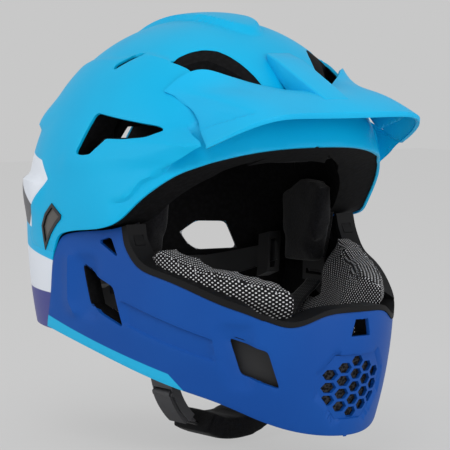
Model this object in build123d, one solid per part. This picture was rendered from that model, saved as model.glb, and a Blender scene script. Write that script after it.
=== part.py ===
from build123d import *
import math
import os

# A full-face cycling helmet for downhill riding, in millimetres. The front is -Y, up is +Z and the
# wearer's left is +X. The origin is the middle of the head at the level of the ears.

# outer form of the shell
shell_half_width = 105.0
shell_front_reach = 117.0
shell_rear_reach = 127.0
widest_height = 31.0
crown_rise = 130.0
shell_drop = 93.0
neck_taper_share = 0.10
shell_front_power = 2.3
shell_rear_power = 2.4
side_profile_power = 2.1
front_profile_power = 1.95
ring_points_count = 24
dome_rows = 9
skirt_rows = 4

# outer form of the chin guard, whose widest station lies behind the ears
chin_half_width = 103.0
chin_setback = 40.0
chin_nose_reach = 150.0
chin_rear_reach = 85.0
chin_belly_height = 5.0
chin_depth = 99.0
chin_top_rise = 42.0
chin_side_tuck = 14.0
chin_nose_height = -15.0
chin_nose_fall = 13.0
chin_nose_span = 78.0
chin_brow_fall = 6.0
chin_brow_span = 60.0
chin_front_power = 1.9
chin_rear_power = 2.3
chin_rows = 8

# walls, pads and clearances
shell_skin = 1.8
layer_gap = 0.3
liner_thickness = 26.0
comfort_pad_thickness = 6.0
chin_skin = 3.0
chin_liner_thickness = 10.0
cheek_pad_thickness = 16.0
cheek_pad_inner = 38.0
seam_gap = 0.9
trim_height = 3.2
trim_lip = 0.6
cut_overrun = 60.0
grid_pad = 12.0

# visor
visor_half_width = 81.0
visor_nose_reach = 136.5
visor_nose_height = 104.0
visor_corner_setback = 41.0
visor_corner_drop = 24.0
visor_edge_power = 6.0
visor_thickness = 2.4
visor_clearance = 1.2
visor_wing_pull = 5.0
bridge_half_width = 14.0
peg_radius = 3.0
peg_length = 9.0
peg_fit = 0.05
grommet_wall = 2.0
grommet_length = 6.0
grommet_setback = 1.0
peg_root = 6.0
visor_crown = 2.0
visor_steps = 5
visor_trim = 0.7

# grille
hex_pitch = 8.0
hex_wall = 1.6
hex_stretch_share = 1.25
filter_thickness = 4.0
grille_recess = 1.6
grille_thickness = 2.6
grille_flange = 3.0

# vents whose outlines are given in their own plane
corner_vent_width = 32.0
corner_vent_height = 30.0
corner_vent_azimuth = 52.0
rear_vent_width = 40.0
rear_vent_height = 20.0
rear_vent_azimuth = 38.0
rear_vent_dip = 5.0
nose_vent_top = 5.0
nose_vent_bottom = 7.5
screen_thickness = 1.2
screen_setback = 6.0
screen_margin = 1.5

# latch
bezel_rim = 2.2
bezel_depth = 9.0
bezel_proud = 0.6
button_clearance = 0.35
button_depth = 6.6
button_sink = 0.4
tongue_thickness = 2.4
tongue_height = 9.0
tongue_reach = 15.0
tongue_root = 10.0
pocket_depth = 21.0
seal_near = 15.0
seal_far = 22.0
spring_thickness = 0.6
spring_width = 8.0
spring_length = 23.0

# straps and buckle
strap_width = 15.0
strap_thickness = 1.6
strap_half_span = 79.0
anchor_radius = 6.0
anchor_thickness = 3.0
divider_width = 22.0
divider_height = 16.0
divider_thickness = 4.4
loop_radius = 47.0
loop_center_height = -60.0
loop_forward = 13.0
chin_pad_width = 27.0
chin_pad_thickness = 3.6
chin_pad_round = 2.2
buckle_width = 21.0
buckle_thickness = 6.0
buckle_wall = 1.4
lever_thickness = 2.2
lever_pin_radius = 1.4
lever_pin_fit = 0.05
knuckle_radius = 2.5
tongue_start_angle = 126.0
tongue_end_angle = 154.0
lever_pin_angle = 158.0
channel_end_angle = 162.0
pad_start_angle = 8.0
pad_end_angle = 122.0
band_start_angle = 0.0
band_end_angle = 126.0
far_end_angle = 180.0
buckle_start_angle = 132.0
buckle_end_angle = 168.0
strap_divider_height = -6.0
fall_step = 17.0
fall_knee = 9.0
keeper_height = 7.0
keeper_rise = 14.0
keeper_depth = 8.0
keeper_wall = 1.6

# rear fit system
cradle_thickness = 2.2
cradle_inset = 33.0
housing_radius = 13.0
housing_depth = 9.0
housing_wall = 1.6
dial_radius = 12.0
dial_depth = 7.0
dial_grips = 14
dial_grip_radius = 1.3
pinion_radius = 4.0
pinion_teeth = 10
pinion_tooth_height = 1.2
spindle_radius = 2.0
spindle_fit = 0.05
dial_height = -52.5
guide_clearance = 0.4
guide_drift = 1.6
guide_wall = 2.0

# The lower front edge of the shell seen from the side, from the brow to the neck: forward as a
# share of the front reach, height above the widest ring as a share of the crown's rise.
rim_shares = [
    (1.25, 0.395), (0.92, 0.390), (0.79, 0.338), (0.64, 0.273), (0.55, 0.215), (0.40, 0.098),
    (0.31, 0.027), (0.205, -0.008), (0.025, -0.030), (-0.12, -0.050), (-0.19, -0.075),
    (-0.23, -0.125), (-0.256, -0.180), (-0.287, -0.346), (-0.333, -0.492), (-0.35, -0.546),
]
neck_shares = [(-0.35, -0.546), (-0.75, -0.545), (-1.4, -0.52)]
# The edge between the cyan shell and the white rear shell, in the same shares.
split_shares = [
    (-0.20, -0.158), (-0.375, -0.152), (-0.54, -0.136), (-0.575, -0.095), (-0.515, 0.05),
    (-0.335, 0.195), (-0.46, 0.28), (-0.75, 0.31), (-1.4, 0.34),
]
# Vents of the shell: the side vent from the side, the top vents from above, where the first
# number is across as a share of the half width and the second is forward.
side_vent_shares = [
    (0.0, 0.53), (0.47, 0.482), (0.497, 0.464), (0.382, 0.428), (0.24, 0.413), (0.115, 0.411),
    (0.018, 0.323), (-0.087, 0.328),
]
top_vent_shares = [
    (0.613, 0.346), (0.462, 0.43), (0.430, 0.452), (0.373, 0.54), (0.286, 0.669), (0.232, 0.754),
    (0.441, 0.619), (0.526, 0.512), (0.57, 0.496),
]
crown_slit_shares = [(0.683, -0.067), (0.581, 0.10), (0.61, 0.11), (0.71, -0.045)]
rear_exhaust_shares = [(-0.2, 0.42), (0.2, 0.42), (0.15, 0.30), (-0.15, 0.30)]
rear_vent_shares = [(-0.5, -0.42), (-0.3, 0.5), (0.22, 0.5), (0.5, 0.1), (0.36, -0.3), (0.2, -0.5)]
rear_vent_place_shares = (0.665, -0.79, -0.175)

# Outlines of the chin guard seen from the side: forward as a share of the nose reach, height
# above the belly as a share of the depth. The nose bridge and the grille are seen from the front,
# where the first number is across as a share of the half width.
port_shares = [
    (0.243, 0.333), (0.203, 0.293), (0.210, 0.222), (0.221, 0.161), (0.251, 0.084), (0.293, 0.019),
    (0.393, -0.037), (0.537, -0.108), (0.669, -0.187), (0.756, -0.234), (0.80, -0.265),
]
nose_bridge_shares = [
    (0.544, -0.242), (0.46, -0.284), (0.41, -0.300), (0.353, -0.292), (0.233, -0.231),
    (0.097, -0.210),
]
chin_hem_shares = [
    (-0.5, -0.354), (-0.267, -0.429), (0.067, -0.556), (0.455, -0.729), (0.631, -0.807),
    (0.78, -0.917), (0.913, -0.985), (1.13, -0.995),
]
chin_triangle_shares = [(0.081, 0.159), (0.151, 0.194), (0.195, 0.065)]
chin_side_vent_shares = [(-0.021, 0.002), (0.169, -0.12), (0.213, -0.373), (0.023, -0.254)]
corner_vent_shares = [(-0.5, 0.5), (0.29, 0.27), (0.5, -0.5), (-0.28, -0.25)]
corner_vent_place_shares = (0.521, 0.751, -0.534)
nose_vent_height_shares = (-0.253, -0.359)
grille_shares = [(0.155, -0.47), (0.233, -0.586), (0.218, -0.727), (0.102, -0.879)]
cheek_pad_shares = [
    (-0.09, -0.31), (0.10, -0.295), (0.24, -0.20), (0.27, 0.12), (0.32, 0.105), (0.42, 0.045),
    (0.56, -0.03), (0.72, -0.12), (0.86, -0.19), (0.86, -0.44), (0.55, -0.52), (0.25, -0.60),
    (-0.06, -0.50),
]
side_seal_shares = [(0.165, 0.22), (0.225, 0.30), (0.235, 0.22), (0.262, 0.15), (0.21, 0.13)]

# The latch's comma outline and the pads in the shell's side shares.
comma_shares = [
    (-0.26, 0.081), (-0.155, 0.030), (-0.160, 0.010), (-0.204, -0.018), (-0.268, -0.072),
    (-0.336, -0.152), (-0.354, -0.108), (-0.378, -0.036), (-0.339, 0.025),
]
side_pad_shares = [
    (-0.05, -0.25), (-0.08, 0.10), (0.10, 0.19), (0.34, 0.17), (0.33, 0.02), (0.24, -0.25),
]
brow_pad_shares = [(0.45, 0.30), (0.56, 0.50), (1.1, 0.52), (1.1, 0.36), (0.62, 0.29)]
bridge_shares = [
    (0.60, 0.80), (0.66, 0.805), (0.96, 0.60), (0.90, 0.575), (0.80, 0.62), (0.64, 0.735),
]
peg_bridge_share = 0.745
peg_wing_share = 0.62
peg_wing_rise_share = 0.60
nose_bridge_start_share = 0.62
crown_pad_length_share = 1.0
crown_pad_width_share = 0.42
anchor_shares = [(0.20, 0.075), (-0.10, 0.035)]
cradle_shares = [
    (-0.14, -0.16), (-0.14, -0.255), (-0.60, -0.40), (-1.2, -0.44), (-1.2, -0.30), (-0.60, -0.26),
]
yoke_shares = [(-0.30, -0.35), (0.30, -0.35), (0.22, -0.72), (-0.22, -0.72)]
guide_shares = [(-0.17, -0.11), (-0.17, -0.32), (-0.25, -0.35), (-0.25, -0.13)]
guide_slot_shares = [(-0.10, -0.135), (-0.10, -0.275), (-0.45, -0.385), (-0.45, -0.20)]
visor_root_shares = [
    (0.0, 0.632), (0.22, 0.652), (0.32, 0.685), (0.44, 0.72), (0.54, 0.742), (0.72, 0.642),
]


def power_of(value, power):
    return math.copysign(abs(value) ** power, value)


def oval(half_width, front, rear, front_power, rear_power, height, setback=0.0):
    """Flat face inside an oval whose front and rear halves have their own length and squareness."""
    points = []
    for k in range(ring_points_count):
        turn = 2 * math.pi * k / ring_points_count
        reach, power = (front, front_power) if math.cos(turn) > 0 else (rear, rear_power)
        across = half_width * power_of(math.sin(turn), 2 / power)
        along = -reach * power_of(math.cos(turn), 2 / power)
        points.append((across, along + setback, height))
    return Face(Wire([Spline(*points, periodic=True)]))


def dome_radii(height, inset):
    """Half width, front reach and rear reach of the shell's form at a height, drawn in by inset."""
    powers = (side_profile_power, front_profile_power, side_profile_power)
    if height >= widest_height:
        level = min((height - widest_height) / (crown_rise - inset), 1.0)
        scales = [(1 - level ** power) ** (1 / power) for power in powers]
    else:
        scales = [1 - neck_taper_share * ((widest_height - height) / shell_drop) ** 2] * len(powers)
    reaches = (shell_half_width, shell_front_reach, shell_rear_reach)
    return [(reach - inset) * scale for reach, scale in zip(reaches, scales)]


def dome(inset):
    """Solid inside the shell's form, drawn in by inset, from the neck to the crown."""
    top = crown_rise - inset
    heights = [widest_height - shell_drop * (1 - k / skirt_rows) for k in range(skirt_rows)]
    lats = [math.pi / 2 * k / (dome_rows + 0.5) for k in range(dome_rows)]
    heights += [widest_height + top * math.sin(lat) for lat in lats]
    sections = [
        oval(*dome_radii(height, inset), shell_front_power, shell_rear_power, height)
        for height in heights
    ]
    return loft(sections + [Vertex(0, 0, widest_height + top)])


def dome_forward(across, height):
    """How far forward the shell's form lies at a place across and a height."""
    half_width, front, _ = dome_radii(height, 0)
    share = min(abs(across) / half_width, 1.0)
    return front * (1 - share ** shell_front_power) ** (1 / shell_front_power)


def chin_radii(height):
    """Half width, front reach from the widest station and rear reach of the chin guard's form."""
    half_width = chin_half_width - chin_side_tuck * ((height - chin_belly_height) / chin_depth) ** 2
    above = min(max((height - chin_nose_height) / chin_brow_span, 0.0), 1.0)
    fall = chin_nose_fall * ((height - chin_nose_height) / chin_nose_span) ** 2
    reach = chin_nose_reach + chin_setback - fall - chin_brow_fall * above ** 2
    return half_width, reach, chin_rear_reach


def chin_form(inset):
    """Solid inside the chin guard's form, drawn in by inset, over its whole height."""
    low = chin_belly_height - chin_depth
    heights = [low + (chin_depth + chin_top_rise) * k / chin_rows for k in range(chin_rows + 1)]
    sections = []
    for height in heights:
        reaches = [reach - inset for reach in chin_radii(height)]
        sections.append(oval(*reaches, chin_front_power, chin_rear_power, height, chin_setback))
    return loft(sections)


def curved_faces(solid):
    return [face for face in solid.faces() if face.geom_type != GeomType.PLANE]


def flat_faces(solid):
    flat = [face for face in solid.faces() if face.geom_type == GeomType.PLANE]
    return sorted(flat, key=lambda face: face.center().Z)


def wall_between(outer, inner):
    """Wall between two nested forms, closed by flat rings where the forms end."""
    rings = [
        Face(big.outer_wire(), [small.outer_wire()])
        for big, small in zip(flat_faces(outer), flat_faces(inner))
    ]
    return Solid(Shell(curved_faces(outer) + curved_faces(inner) + rings))


def side_place(shares, shift=0.0):
    """Point in the side view from shell shares, moved forward and down by shift."""
    forward_share, rise_share = shares
    height = widest_height + crown_rise * rise_share - shift
    return (0, -(shell_front_reach * forward_share + shift), height)


def chin_place(shares, shift=0.0):
    """Point in the side view from chin guard shares, moved forward and up by shift."""
    forward_share, rise_share = shares
    height = chin_belly_height + chin_depth * rise_share + shift
    return (0, -(chin_nose_reach * forward_share + shift), height)


def side_prism(edges):
    """Prism through the whole width from edges in the side view."""
    return extrude(Face(Wire(edges)), shell_half_width + cut_overrun, dir=(1, 0, 0), both=True)


def side_block(points):
    return side_prism(Polyline(*points, close=True).edges())


def below_rim(shift=0.0):
    """All that lies in front of and below the shell's lower edge."""
    rim = [side_place(shares, shift) for shares in rim_shares]
    neck = [side_place(shares, shift) for shares in neck_shares]
    floor = widest_height - shell_drop - cut_overrun
    closing = [neck[0], *neck[1:], (0, neck[-1][1], floor), (0, rim[0][1], floor), rim[0]]
    return side_prism([Spline(*rim), *Polyline(*closing).edges()])


def above_rim(shift):
    """All that lies behind and above the shell's lower edge, moved by shift."""
    rim = [side_place(shares, shift) for shares in rim_shares]
    roof = widest_height + crown_rise + cut_overrun
    back = shell_rear_reach + cut_overrun
    floor = widest_height - shell_drop - cut_overrun
    closing = [
        rim[-1], (0, rim[-1][1], floor), (0, back, floor), (0, back, roof), (0, rim[0][1], roof), rim[0],
    ]
    return side_prism([Spline(*rim), *Polyline(*closing).edges()])


def rear_region():
    """The part of the shell that is white."""
    split = [side_place(shares) for shares in split_shares]
    floor = widest_height - shell_drop - cut_overrun
    return side_block([*split, (0, split[-1][1], floor), (0, split[0][1], floor)])


def plan_prism(shares_list):
    """Prism down through one side of the crown, from shares across and forward."""
    points = [
        (shell_half_width * across, -shell_front_reach * forward, widest_height)
        for across, forward in shares_list
    ]
    face = Face(Wire(Polyline(*points, close=True).edges()))
    return extrude(face, crown_rise + cut_overrun, dir=(0, 0, 1))


def both_sides(solid):
    return [solid, mirror(solid, about=Plane.YZ)]


def rear_vent():
    """Channel of the rear side vent on the wearer's left."""
    across_share, forward_share, rise_share = rear_vent_place_shares
    origin = (
        shell_half_width * across_share, -shell_front_reach * forward_share,
        widest_height + crown_rise * rise_share,
    )
    azimuth = math.radians(rear_vent_azimuth)
    dip = math.radians(rear_vent_dip)
    outward = (
        math.sin(azimuth) * math.cos(dip), math.cos(azimuth) * math.cos(dip), -math.sin(dip),
    )
    plane = Plane(origin=origin, x_dir=(-math.cos(azimuth), math.sin(azimuth), 0), z_dir=outward)
    points = [(rear_vent_width * u, rear_vent_height * v) for u, v in rear_vent_shares]
    return extrude(plane * Polygon(*points, align=None), liner_thickness + grid_pad, both=True)


def rear_exhaust():
    """Opening high at the back, under the rear lip."""
    points = []
    for across_share, rise_share in rear_exhaust_shares:
        points.append((shell_half_width * across_share, 0, widest_height + crown_rise * rise_share))
    face = Face(Wire(Polyline(*points, close=True).edges()))
    return extrude(face, shell_rear_reach + cut_overrun, dir=(0, 1, 0))


def comma_face(grow=0.0):
    """Comma outline of the latch in the side view, grown by an amount."""
    points = [side_place(shares) for shares in comma_shares]
    face = Face(Wire(Polyline(*points, close=True).edges()))
    return offset(face, amount=grow, kind=Kind.INTERSECTION) if grow else face


def side_bar(face, near, far):
    """Bar on the wearer's left from a face in the side view, between two places across."""
    return Pos(near, 0, 0) * extrude(face, far - near, dir=(1, 0, 0))


def shell_vents():
    vents = [side_block([side_place(shares) for shares in side_vent_shares])]
    vents += both_sides(plan_prism(top_vent_shares))
    vents += both_sides(plan_prism(crown_slit_shares))
    vents += both_sides(rear_vent())
    vents.append(rear_exhaust())
    return vents


def visor_peg_places():
    """Where the three pegs enter the shell: one at the bridge, one in each wing."""
    across = shell_half_width * peg_wing_share
    height = widest_height + crown_rise * peg_wing_rise_share
    return [(0, widest_height + crown_rise * peg_bridge_share), (across, height), (-across, height)]


def along_y(radius, front, back, across, height):
    """Round bar along Y between two places."""
    bar = Cylinder(radius, back - front)
    return Pos(across, (front + back) / 2, height) * Rot(90, 0, 0) * bar


def peg_seat(across, height):
    """How far back the shell's form lies where a peg enters it."""
    return -dome_forward(across, height)


def peg_bores(radius):
    bores = []
    for across, height in visor_peg_places():
        seat = peg_seat(across, height)
        bores.append(along_y(radius, seat - cut_overrun, seat + peg_length + grid_pad, across, height))
    return bores


def make_shell():
    """Cyan upper shell and white rear shell, cut from one skin."""
    skin = wall_between(dome(0), dome(shell_skin)) - below_rim()
    latch_hole = side_bar(
        comma_face(layer_gap), shell_half_width - pocket_depth, shell_half_width + grid_pad
    )
    skin = skin - shell_vents() - both_sides(latch_hole) - peg_bores(peg_radius + grommet_wall + peg_fit)
    white = rear_region()
    save("outer_shell", skin - white)
    save("rear_shell", skin & white)


def make_liner():
    """Foam liner with the same vents, a pocket for each latch and seats for the anchors."""
    outer_inset = shell_skin + layer_gap
    wall = wall_between(dome(outer_inset), dome(outer_inset + liner_thickness))
    wall = wall - below_rim(-seam_gap) - shell_vents()
    wall = wall - peg_bores(peg_radius + grommet_wall + peg_fit)
    pocket = side_bar(
        comma_face(bezel_rim), shell_half_width - pocket_depth, shell_half_width + grid_pad
    )
    wall = wall - both_sides(pocket) - both_sides(tongue_slot())
    for block in anchor_blocks(layer_gap) + leg_rooms(2 * layer_gap):
        wall = wall - block
    save("impact_liner", wall)


def tongue_slot():
    return tongue_box(seam_gap, tongue_reach + seam_gap)


def tongue_box(grow, reach):
    """Plate that runs back from the chin guard into the shell on the wearer's left."""
    low = side_place(rim_shares[12])
    middle = low[2] - tongue_height / 2
    thickness = tongue_thickness + 2 * grow
    outer = shell_half_width - bezel_depth - tongue_thickness / 2
    box = Box(thickness, reach + tongue_root, tongue_height + 2 * grow)
    return Pos(outer, low[1] + (reach - tongue_root) / 2, middle) * box


def make_latches():
    """Bezel, button, leaf spring and tongue on each side."""
    body = dome(-bezel_proud)
    rim = comma_face() - comma_face(-bezel_rim)
    bezel = side_bar(rim, shell_half_width - bezel_depth, shell_half_width + grid_pad) & body
    pair("latch_bezel", bezel)
    inner = comma_face(-bezel_rim - button_clearance)
    button = side_bar(inner, shell_half_width - button_depth, shell_half_width + grid_pad)
    pair("latch_button", button & dome(button_sink))
    center = comma_face().center()
    leaf = Box(spring_thickness, spring_length, spring_width)
    leaf_place = shell_half_width - bezel_depth - spring_thickness / 2
    room = side_bar(
        comma_face(bezel_rim - layer_gap), leaf_place - bezel_depth, leaf_place + bezel_depth
    )
    pair("latch_spring", (Pos(leaf_place, center.Y, center.Z) * leaf) & room)
    pair("latch_tongue", tongue_box(0, tongue_reach))


def anchor_places():
    """Front and rear anchors of the strap legs on the wearer's left, in the liner's lower edge."""
    places = []
    for forward_share, rise_share in anchor_shares:
        places.append(side_place((forward_share, rise_share)))
    return places


def anchor_blocks(grow=0.0):
    blocks = []
    for _, along, height in anchor_places():
        disc = Rot(0, 90, 0) * Cylinder(anchor_radius + grow, anchor_thickness + 2 * grow)
        blocks += both_sides(Pos(strap_half_span, along, height) * disc)
    return blocks


def leg_rooms(clearance):
    """Room for the strap legs round their anchors, on both sides."""
    rooms = []
    for anchor in anchor_places():
        rooms += both_sides(leg_strip(anchor, clearance))
    return rooms


def divider_center():
    return (0, -loop_forward, strap_divider_height)


def leg_strip(anchor, grow=0.0):
    """Flat strip from an anchor down to the divider, on the wearer's left."""
    start = Vector(*anchor)
    end = Vector(*divider_center())
    run = end - start
    center = (start + end) * 0.5
    tilt = math.degrees(math.atan2(run.Y, -run.Z))
    strip = Box(strap_thickness + 2 * grow, strap_width + 2 * grow, run.length)
    return Pos(strap_half_span, center.Y, center.Z) * Rot(tilt, 0, 0) * strip


def loop_point(angle, radius):
    """Point of the loop under the chin, with the angle counted from the wearer's left side down."""
    turn = math.radians(angle)
    return (radius * math.cos(turn), -loop_forward, loop_center_height - radius * math.sin(turn))


def loop_band(start, end, inner, outer, width):
    """Curved band of the loop under the chin between two angles."""
    middle = (start + end) / 2
    inner_arc = ThreePointArc(*[loop_point(angle, inner) for angle in (start, middle, end)])
    outer_arc = ThreePointArc(*[loop_point(angle, outer) for angle in (end, middle, start)])
    sides = [Line(inner_arc @ 1, outer_arc @ 0), Line(outer_arc @ 1, inner_arc @ 0)]
    face = Face(Wire([inner_arc, sides[0], outer_arc, sides[1]]))
    return extrude(face, width / 2, dir=(0, 1, 0), both=True)


def fall_strip(grow=0.0):
    """Strip from the divider inwards and down to where the loop starts, on the wearer's left."""
    knee = (strap_half_span - fall_step, strap_divider_height - fall_knee)
    top = (strap_half_span, strap_divider_height)
    foot = (loop_radius, loop_center_height)
    half = strap_thickness / 2 + grow
    outline = [
        (top[0] - half, top[1]), (top[0] + half, top[1]), (top[0] + half, knee[1] + fall_step / 2),
        (knee[0] + half, knee[1] - fall_step / 2), (foot[0] + half, foot[1]), (foot[0] - half, foot[1]),
        (knee[0] - half, knee[1] - fall_step / 2 + half),
        (top[0] - half, knee[1] + fall_step / 2 + half),
    ]
    points = [(across, -loop_forward, height) for across, height in outline]
    face = Face(Wire(Polyline(*points, close=True).edges()))
    return extrude(face, strap_width / 2 + grow, dir=(0, 1, 0), both=True)


def make_straps():
    """Upper legs, dividers, falls, the webbing under the chin and its pad."""
    front, rear = anchor_places()
    half = strap_thickness / 2
    divider = Pos(strap_half_span, -loop_forward, strap_divider_height) * Box(
        divider_thickness, divider_width, divider_height
    )
    slots = [leg_strip(front, layer_gap), leg_strip(rear, layer_gap), fall_strip(layer_gap)]
    pair("strap_divider", divider - slots)
    legs_end = Pos(0, -loop_forward, strap_divider_height - crown_rise) * Box(
        2 * shell_half_width, shell_half_width, 2 * (crown_rise + layer_gap)
    )
    front_leg = leg_strip(front) - legs_end - anchor_blocks()
    rear_leg = leg_strip(rear) - legs_end - front_leg - anchor_blocks()
    pair("strap_front", front_leg)
    pair("strap_rear", largest(rear_leg))
    save("strap_anchors", Compound(children=anchor_blocks()))
    fall = fall_strip()
    strap_inner = loop_radius - half
    strap_outer = loop_radius + half
    band = loop_band(band_start_angle, band_end_angle, strap_inner, strap_outer, strap_width)
    save("chin_strap_left", fall + band)
    near_band = loop_band(buckle_end_angle, far_end_angle, strap_inner, strap_outer, strap_width)
    save("chin_strap_right", mirror(fall, about=Plane.YZ) + near_band)
    inner = strap_inner - layer_gap
    outer = strap_outer + layer_gap
    sleeve = loop_band(
        pad_start_angle, pad_end_angle, inner - chin_pad_thickness, outer + chin_pad_thickness,
        chin_pad_width,
    )
    sleeve = fillet(sleeve.edges().filter_by(lambda e: e.length > loop_radius), chin_pad_round)
    tunnel = loop_band(band_start_angle, band_end_angle, inner, outer, strap_width + 2 * layer_gap)
    save("chin_pad", sleeve - tunnel)
    save("strap_keeper", fall_keeper())


def largest(shape):
    return max(shape.solids(), key=lambda solid: solid.volume)


def fall_keeper():
    """Small loop round the fall on the wearer's left."""
    level = loop_center_height + keeper_rise
    box = Box(keeper_depth, strap_width + 2 * keeper_wall, keeper_height)
    share = (level - loop_center_height) / (strap_divider_height - fall_knee - loop_center_height)
    across = loop_radius + (strap_half_span - fall_step - loop_radius) * share
    return Pos(across, -loop_forward, level) * box - fall_strip(layer_gap)


def make_buckle():
    """Buckle body on the wearer's right with its pin, its lever and the toothed tongue."""
    inner = loop_radius - buckle_thickness / 2
    outer = loop_radius + buckle_thickness / 2
    slot_width = buckle_width - 2 * buckle_wall
    body = loop_band(buckle_start_angle, buckle_end_angle, inner, outer, buckle_width)
    channel = loop_band(
        tongue_start_angle, channel_end_angle, inner + buckle_wall, outer + buckle_wall, slot_width
    )
    pin_place = Pos(*loop_point(lever_pin_angle, outer)) * Rot(90, 0, 0)
    pin = pin_place * Cylinder(lever_pin_radius, buckle_width)
    knuckle = pin_place * Cylinder(knuckle_radius, slot_width - 2 * layer_gap)
    room = pin_place * Cylinder(knuckle_radius + layer_gap, slot_width)
    save("buckle_body", (body - channel - room) + pin)
    bore = pin_place * Cylinder(lever_pin_radius + lever_pin_fit, buckle_width)
    lever = loop_band(
        buckle_start_angle, lever_pin_angle, outer, outer + lever_thickness, slot_width - 2 * layer_gap
    )
    save("buckle_lever", (lever + knuckle) - bore)
    tongue_inner = inner + buckle_wall + layer_gap
    tongue = loop_band(
        tongue_start_angle, tongue_end_angle, tongue_inner, tongue_inner + strap_thickness,
        slot_width - 2 * layer_gap,
    )
    save("ratchet_tongue", tongue)


def port_tool(shift=0.0):
    """The opening of the eye port above the chin guard, moved forward and up by shift."""
    edge = [chin_place(shares, shift) for shares in port_shares]
    roof = widest_height + crown_rise
    closing = [edge[-1], (0, edge[-1][1], roof), (0, edge[0][1], roof), edge[0]]
    side = side_prism([Spline(*edge), *Polyline(*closing).edges()])
    right = [
        (-chin_half_width * across, 0, chin_belly_height + chin_depth * rise + shift)
        for across, rise in nose_bridge_shares
    ]
    left = [(-across, 0, height) for across, _, height in reversed(right)]
    roof_line = [left[-1], (left[-1][0], 0, roof), (right[0][0], 0, roof), right[0]]
    front_face = Face(Wire([Spline(*right, *left), *Polyline(*roof_line).edges()]))
    bar = extrude(front_face, chin_nose_reach, dir=(0, -1, 0))
    return side + Pos(0, -chin_nose_reach * nose_bridge_start_share, 0) * bar


def below_hem(shift=0.0):
    """All that lies below the chin guard's lower edge."""
    hem = [chin_place(shares) for shares in chin_hem_shares]
    hem = [(0, along, height + shift) for _, along, height in hem]
    floor = chin_belly_height - chin_depth - cut_overrun
    closing = [hem[-1], (0, hem[-1][1], floor), (0, hem[0][1], floor), hem[0]]
    return side_prism([Spline(*hem), *Polyline(*closing).edges()])


def corner_plane():
    """Plane of the corner vent on the wearer's left, facing outwards with its Y upwards."""
    across_share, forward_share, rise_share = corner_vent_place_shares
    origin = (
        chin_half_width * across_share, -chin_nose_reach * forward_share,
        chin_belly_height + chin_depth * rise_share,
    )
    turn = math.radians(corner_vent_azimuth)
    rearward = (math.cos(turn), math.sin(turn), 0)
    return Plane(origin=origin, x_dir=rearward, z_dir=(math.sin(turn), -math.cos(turn), 0))


def corner_face(grow=0.0):
    points = [(-corner_vent_width * u, corner_vent_height * v) for u, v in corner_vent_shares]
    face = corner_plane() * Polygon(*points, align=None)
    return offset(face, amount=grow, kind=Kind.INTERSECTION) if grow else face


def front_prism(points):
    """Prism through the front of the chin guard from points across and up."""
    placed = [(across, -chin_nose_reach / 2, height) for across, height in points]
    return extrude(Face(Wire(Polyline(*placed, close=True).edges())), chin_nose_reach, dir=(0, -1, 0))


def grille_outline(grow=0.0):
    """Prism through the front inside the grille's outline, grown by an amount."""
    right = [
        (chin_half_width * across, chin_belly_height + chin_depth * rise)
        for across, rise in grille_shares
    ]
    points = right + [(-across, height) for across, height in reversed(right)]
    placed = [(across, -chin_nose_reach / 2, height) for across, height in points]
    face = Face(Wire(Polyline(*placed, close=True).edges()))
    if grow:
        face = offset(face, amount=grow, kind=Kind.INTERSECTION)
    return extrude(face, chin_nose_reach, dir=(0, -1, 0))


def nose_vent():
    top, bottom = [chin_belly_height + chin_depth * share for share in nose_vent_height_shares]
    return front_prism([
        (-nose_vent_top, top), (nose_vent_top, top),
        (nose_vent_bottom, bottom), (-nose_vent_bottom, bottom),
    ])


def chin_vents():
    vents = [side_block([chin_place(shares) for shares in chin_triangle_shares])]
    vents.append(side_block([chin_place(shares) for shares in chin_side_vent_shares]))
    reach = chin_skin + chin_liner_thickness + grid_pad
    vents += both_sides(extrude(corner_face(), reach, both=True))
    vents.append(nose_vent())
    return vents


def make_chin_guard():
    """Blue skin, its foam, the grille, the edging of the eye port and the seals at the temples."""
    gap_rim = above_rim(seam_gap)
    port = port_tool()
    hem = below_hem()
    vents = chin_vents()
    skin = wall_between(chin_form(0), chin_form(chin_skin)) - gap_rim - hem - port
    slots = both_sides(tongue_box(layer_gap, tongue_reach))
    save("chin_shell", largest(skin - vents - grille_outline() - slots))
    foam_inset = chin_skin + layer_gap
    foam = wall_between(chin_form(foam_inset), chin_form(foam_inset + chin_liner_thickness))
    foam = foam - gap_rim - below_hem(chin_skin) - port_tool(-layer_gap)
    foam = foam - vents - grille_outline(grille_flange + layer_gap) - slots
    foam = foam - both_sides(vent_screen(layer_gap))
    save("chin_liner", largest(foam - both_sides(seal_block(layer_gap))))
    trim_wall = wall_between(
        chin_form(-trim_lip), chin_form(foam_inset + chin_liner_thickness + trim_lip)
    )
    trim = (trim_wall - gap_rim) & port_tool(layer_gap)
    trim = trim - port_tool(layer_gap + trim_height) - both_sides(seal_block(layer_gap))
    save("port_trim", largest(trim))
    pair("vent_screen", vent_screen())
    make_grille()
    pair("side_seal", largest(seal_block(0) - gap_rim))


def vent_screen(grow=0.0):
    """Panel set back behind a corner vent, or with an amount to grow the pocket that holds it."""
    inwards = corner_plane().z_dir * -1
    depth = chin_skin + screen_setback
    face = corner_face(screen_margin + grow)
    if grow:
        return extrude(face, depth + screen_thickness + grow, dir=inwards)
    return extrude(Pos(inwards * depth) * face, screen_thickness, dir=inwards)


def seal_block(grow):
    """Ribbed strip in the front edge of the guard's foam at the temple, on the wearer's left."""
    points = [chin_place(shares) for shares in side_seal_shares]
    face = Face(Wire(Polyline(*points, close=True).edges()))
    if grow:
        face = offset(face, amount=grow, kind=Kind.INTERSECTION)
    near = chin_half_width - seal_far
    far = chin_half_width - seal_near
    return side_bar(face, near - grow, far + grow)


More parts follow.
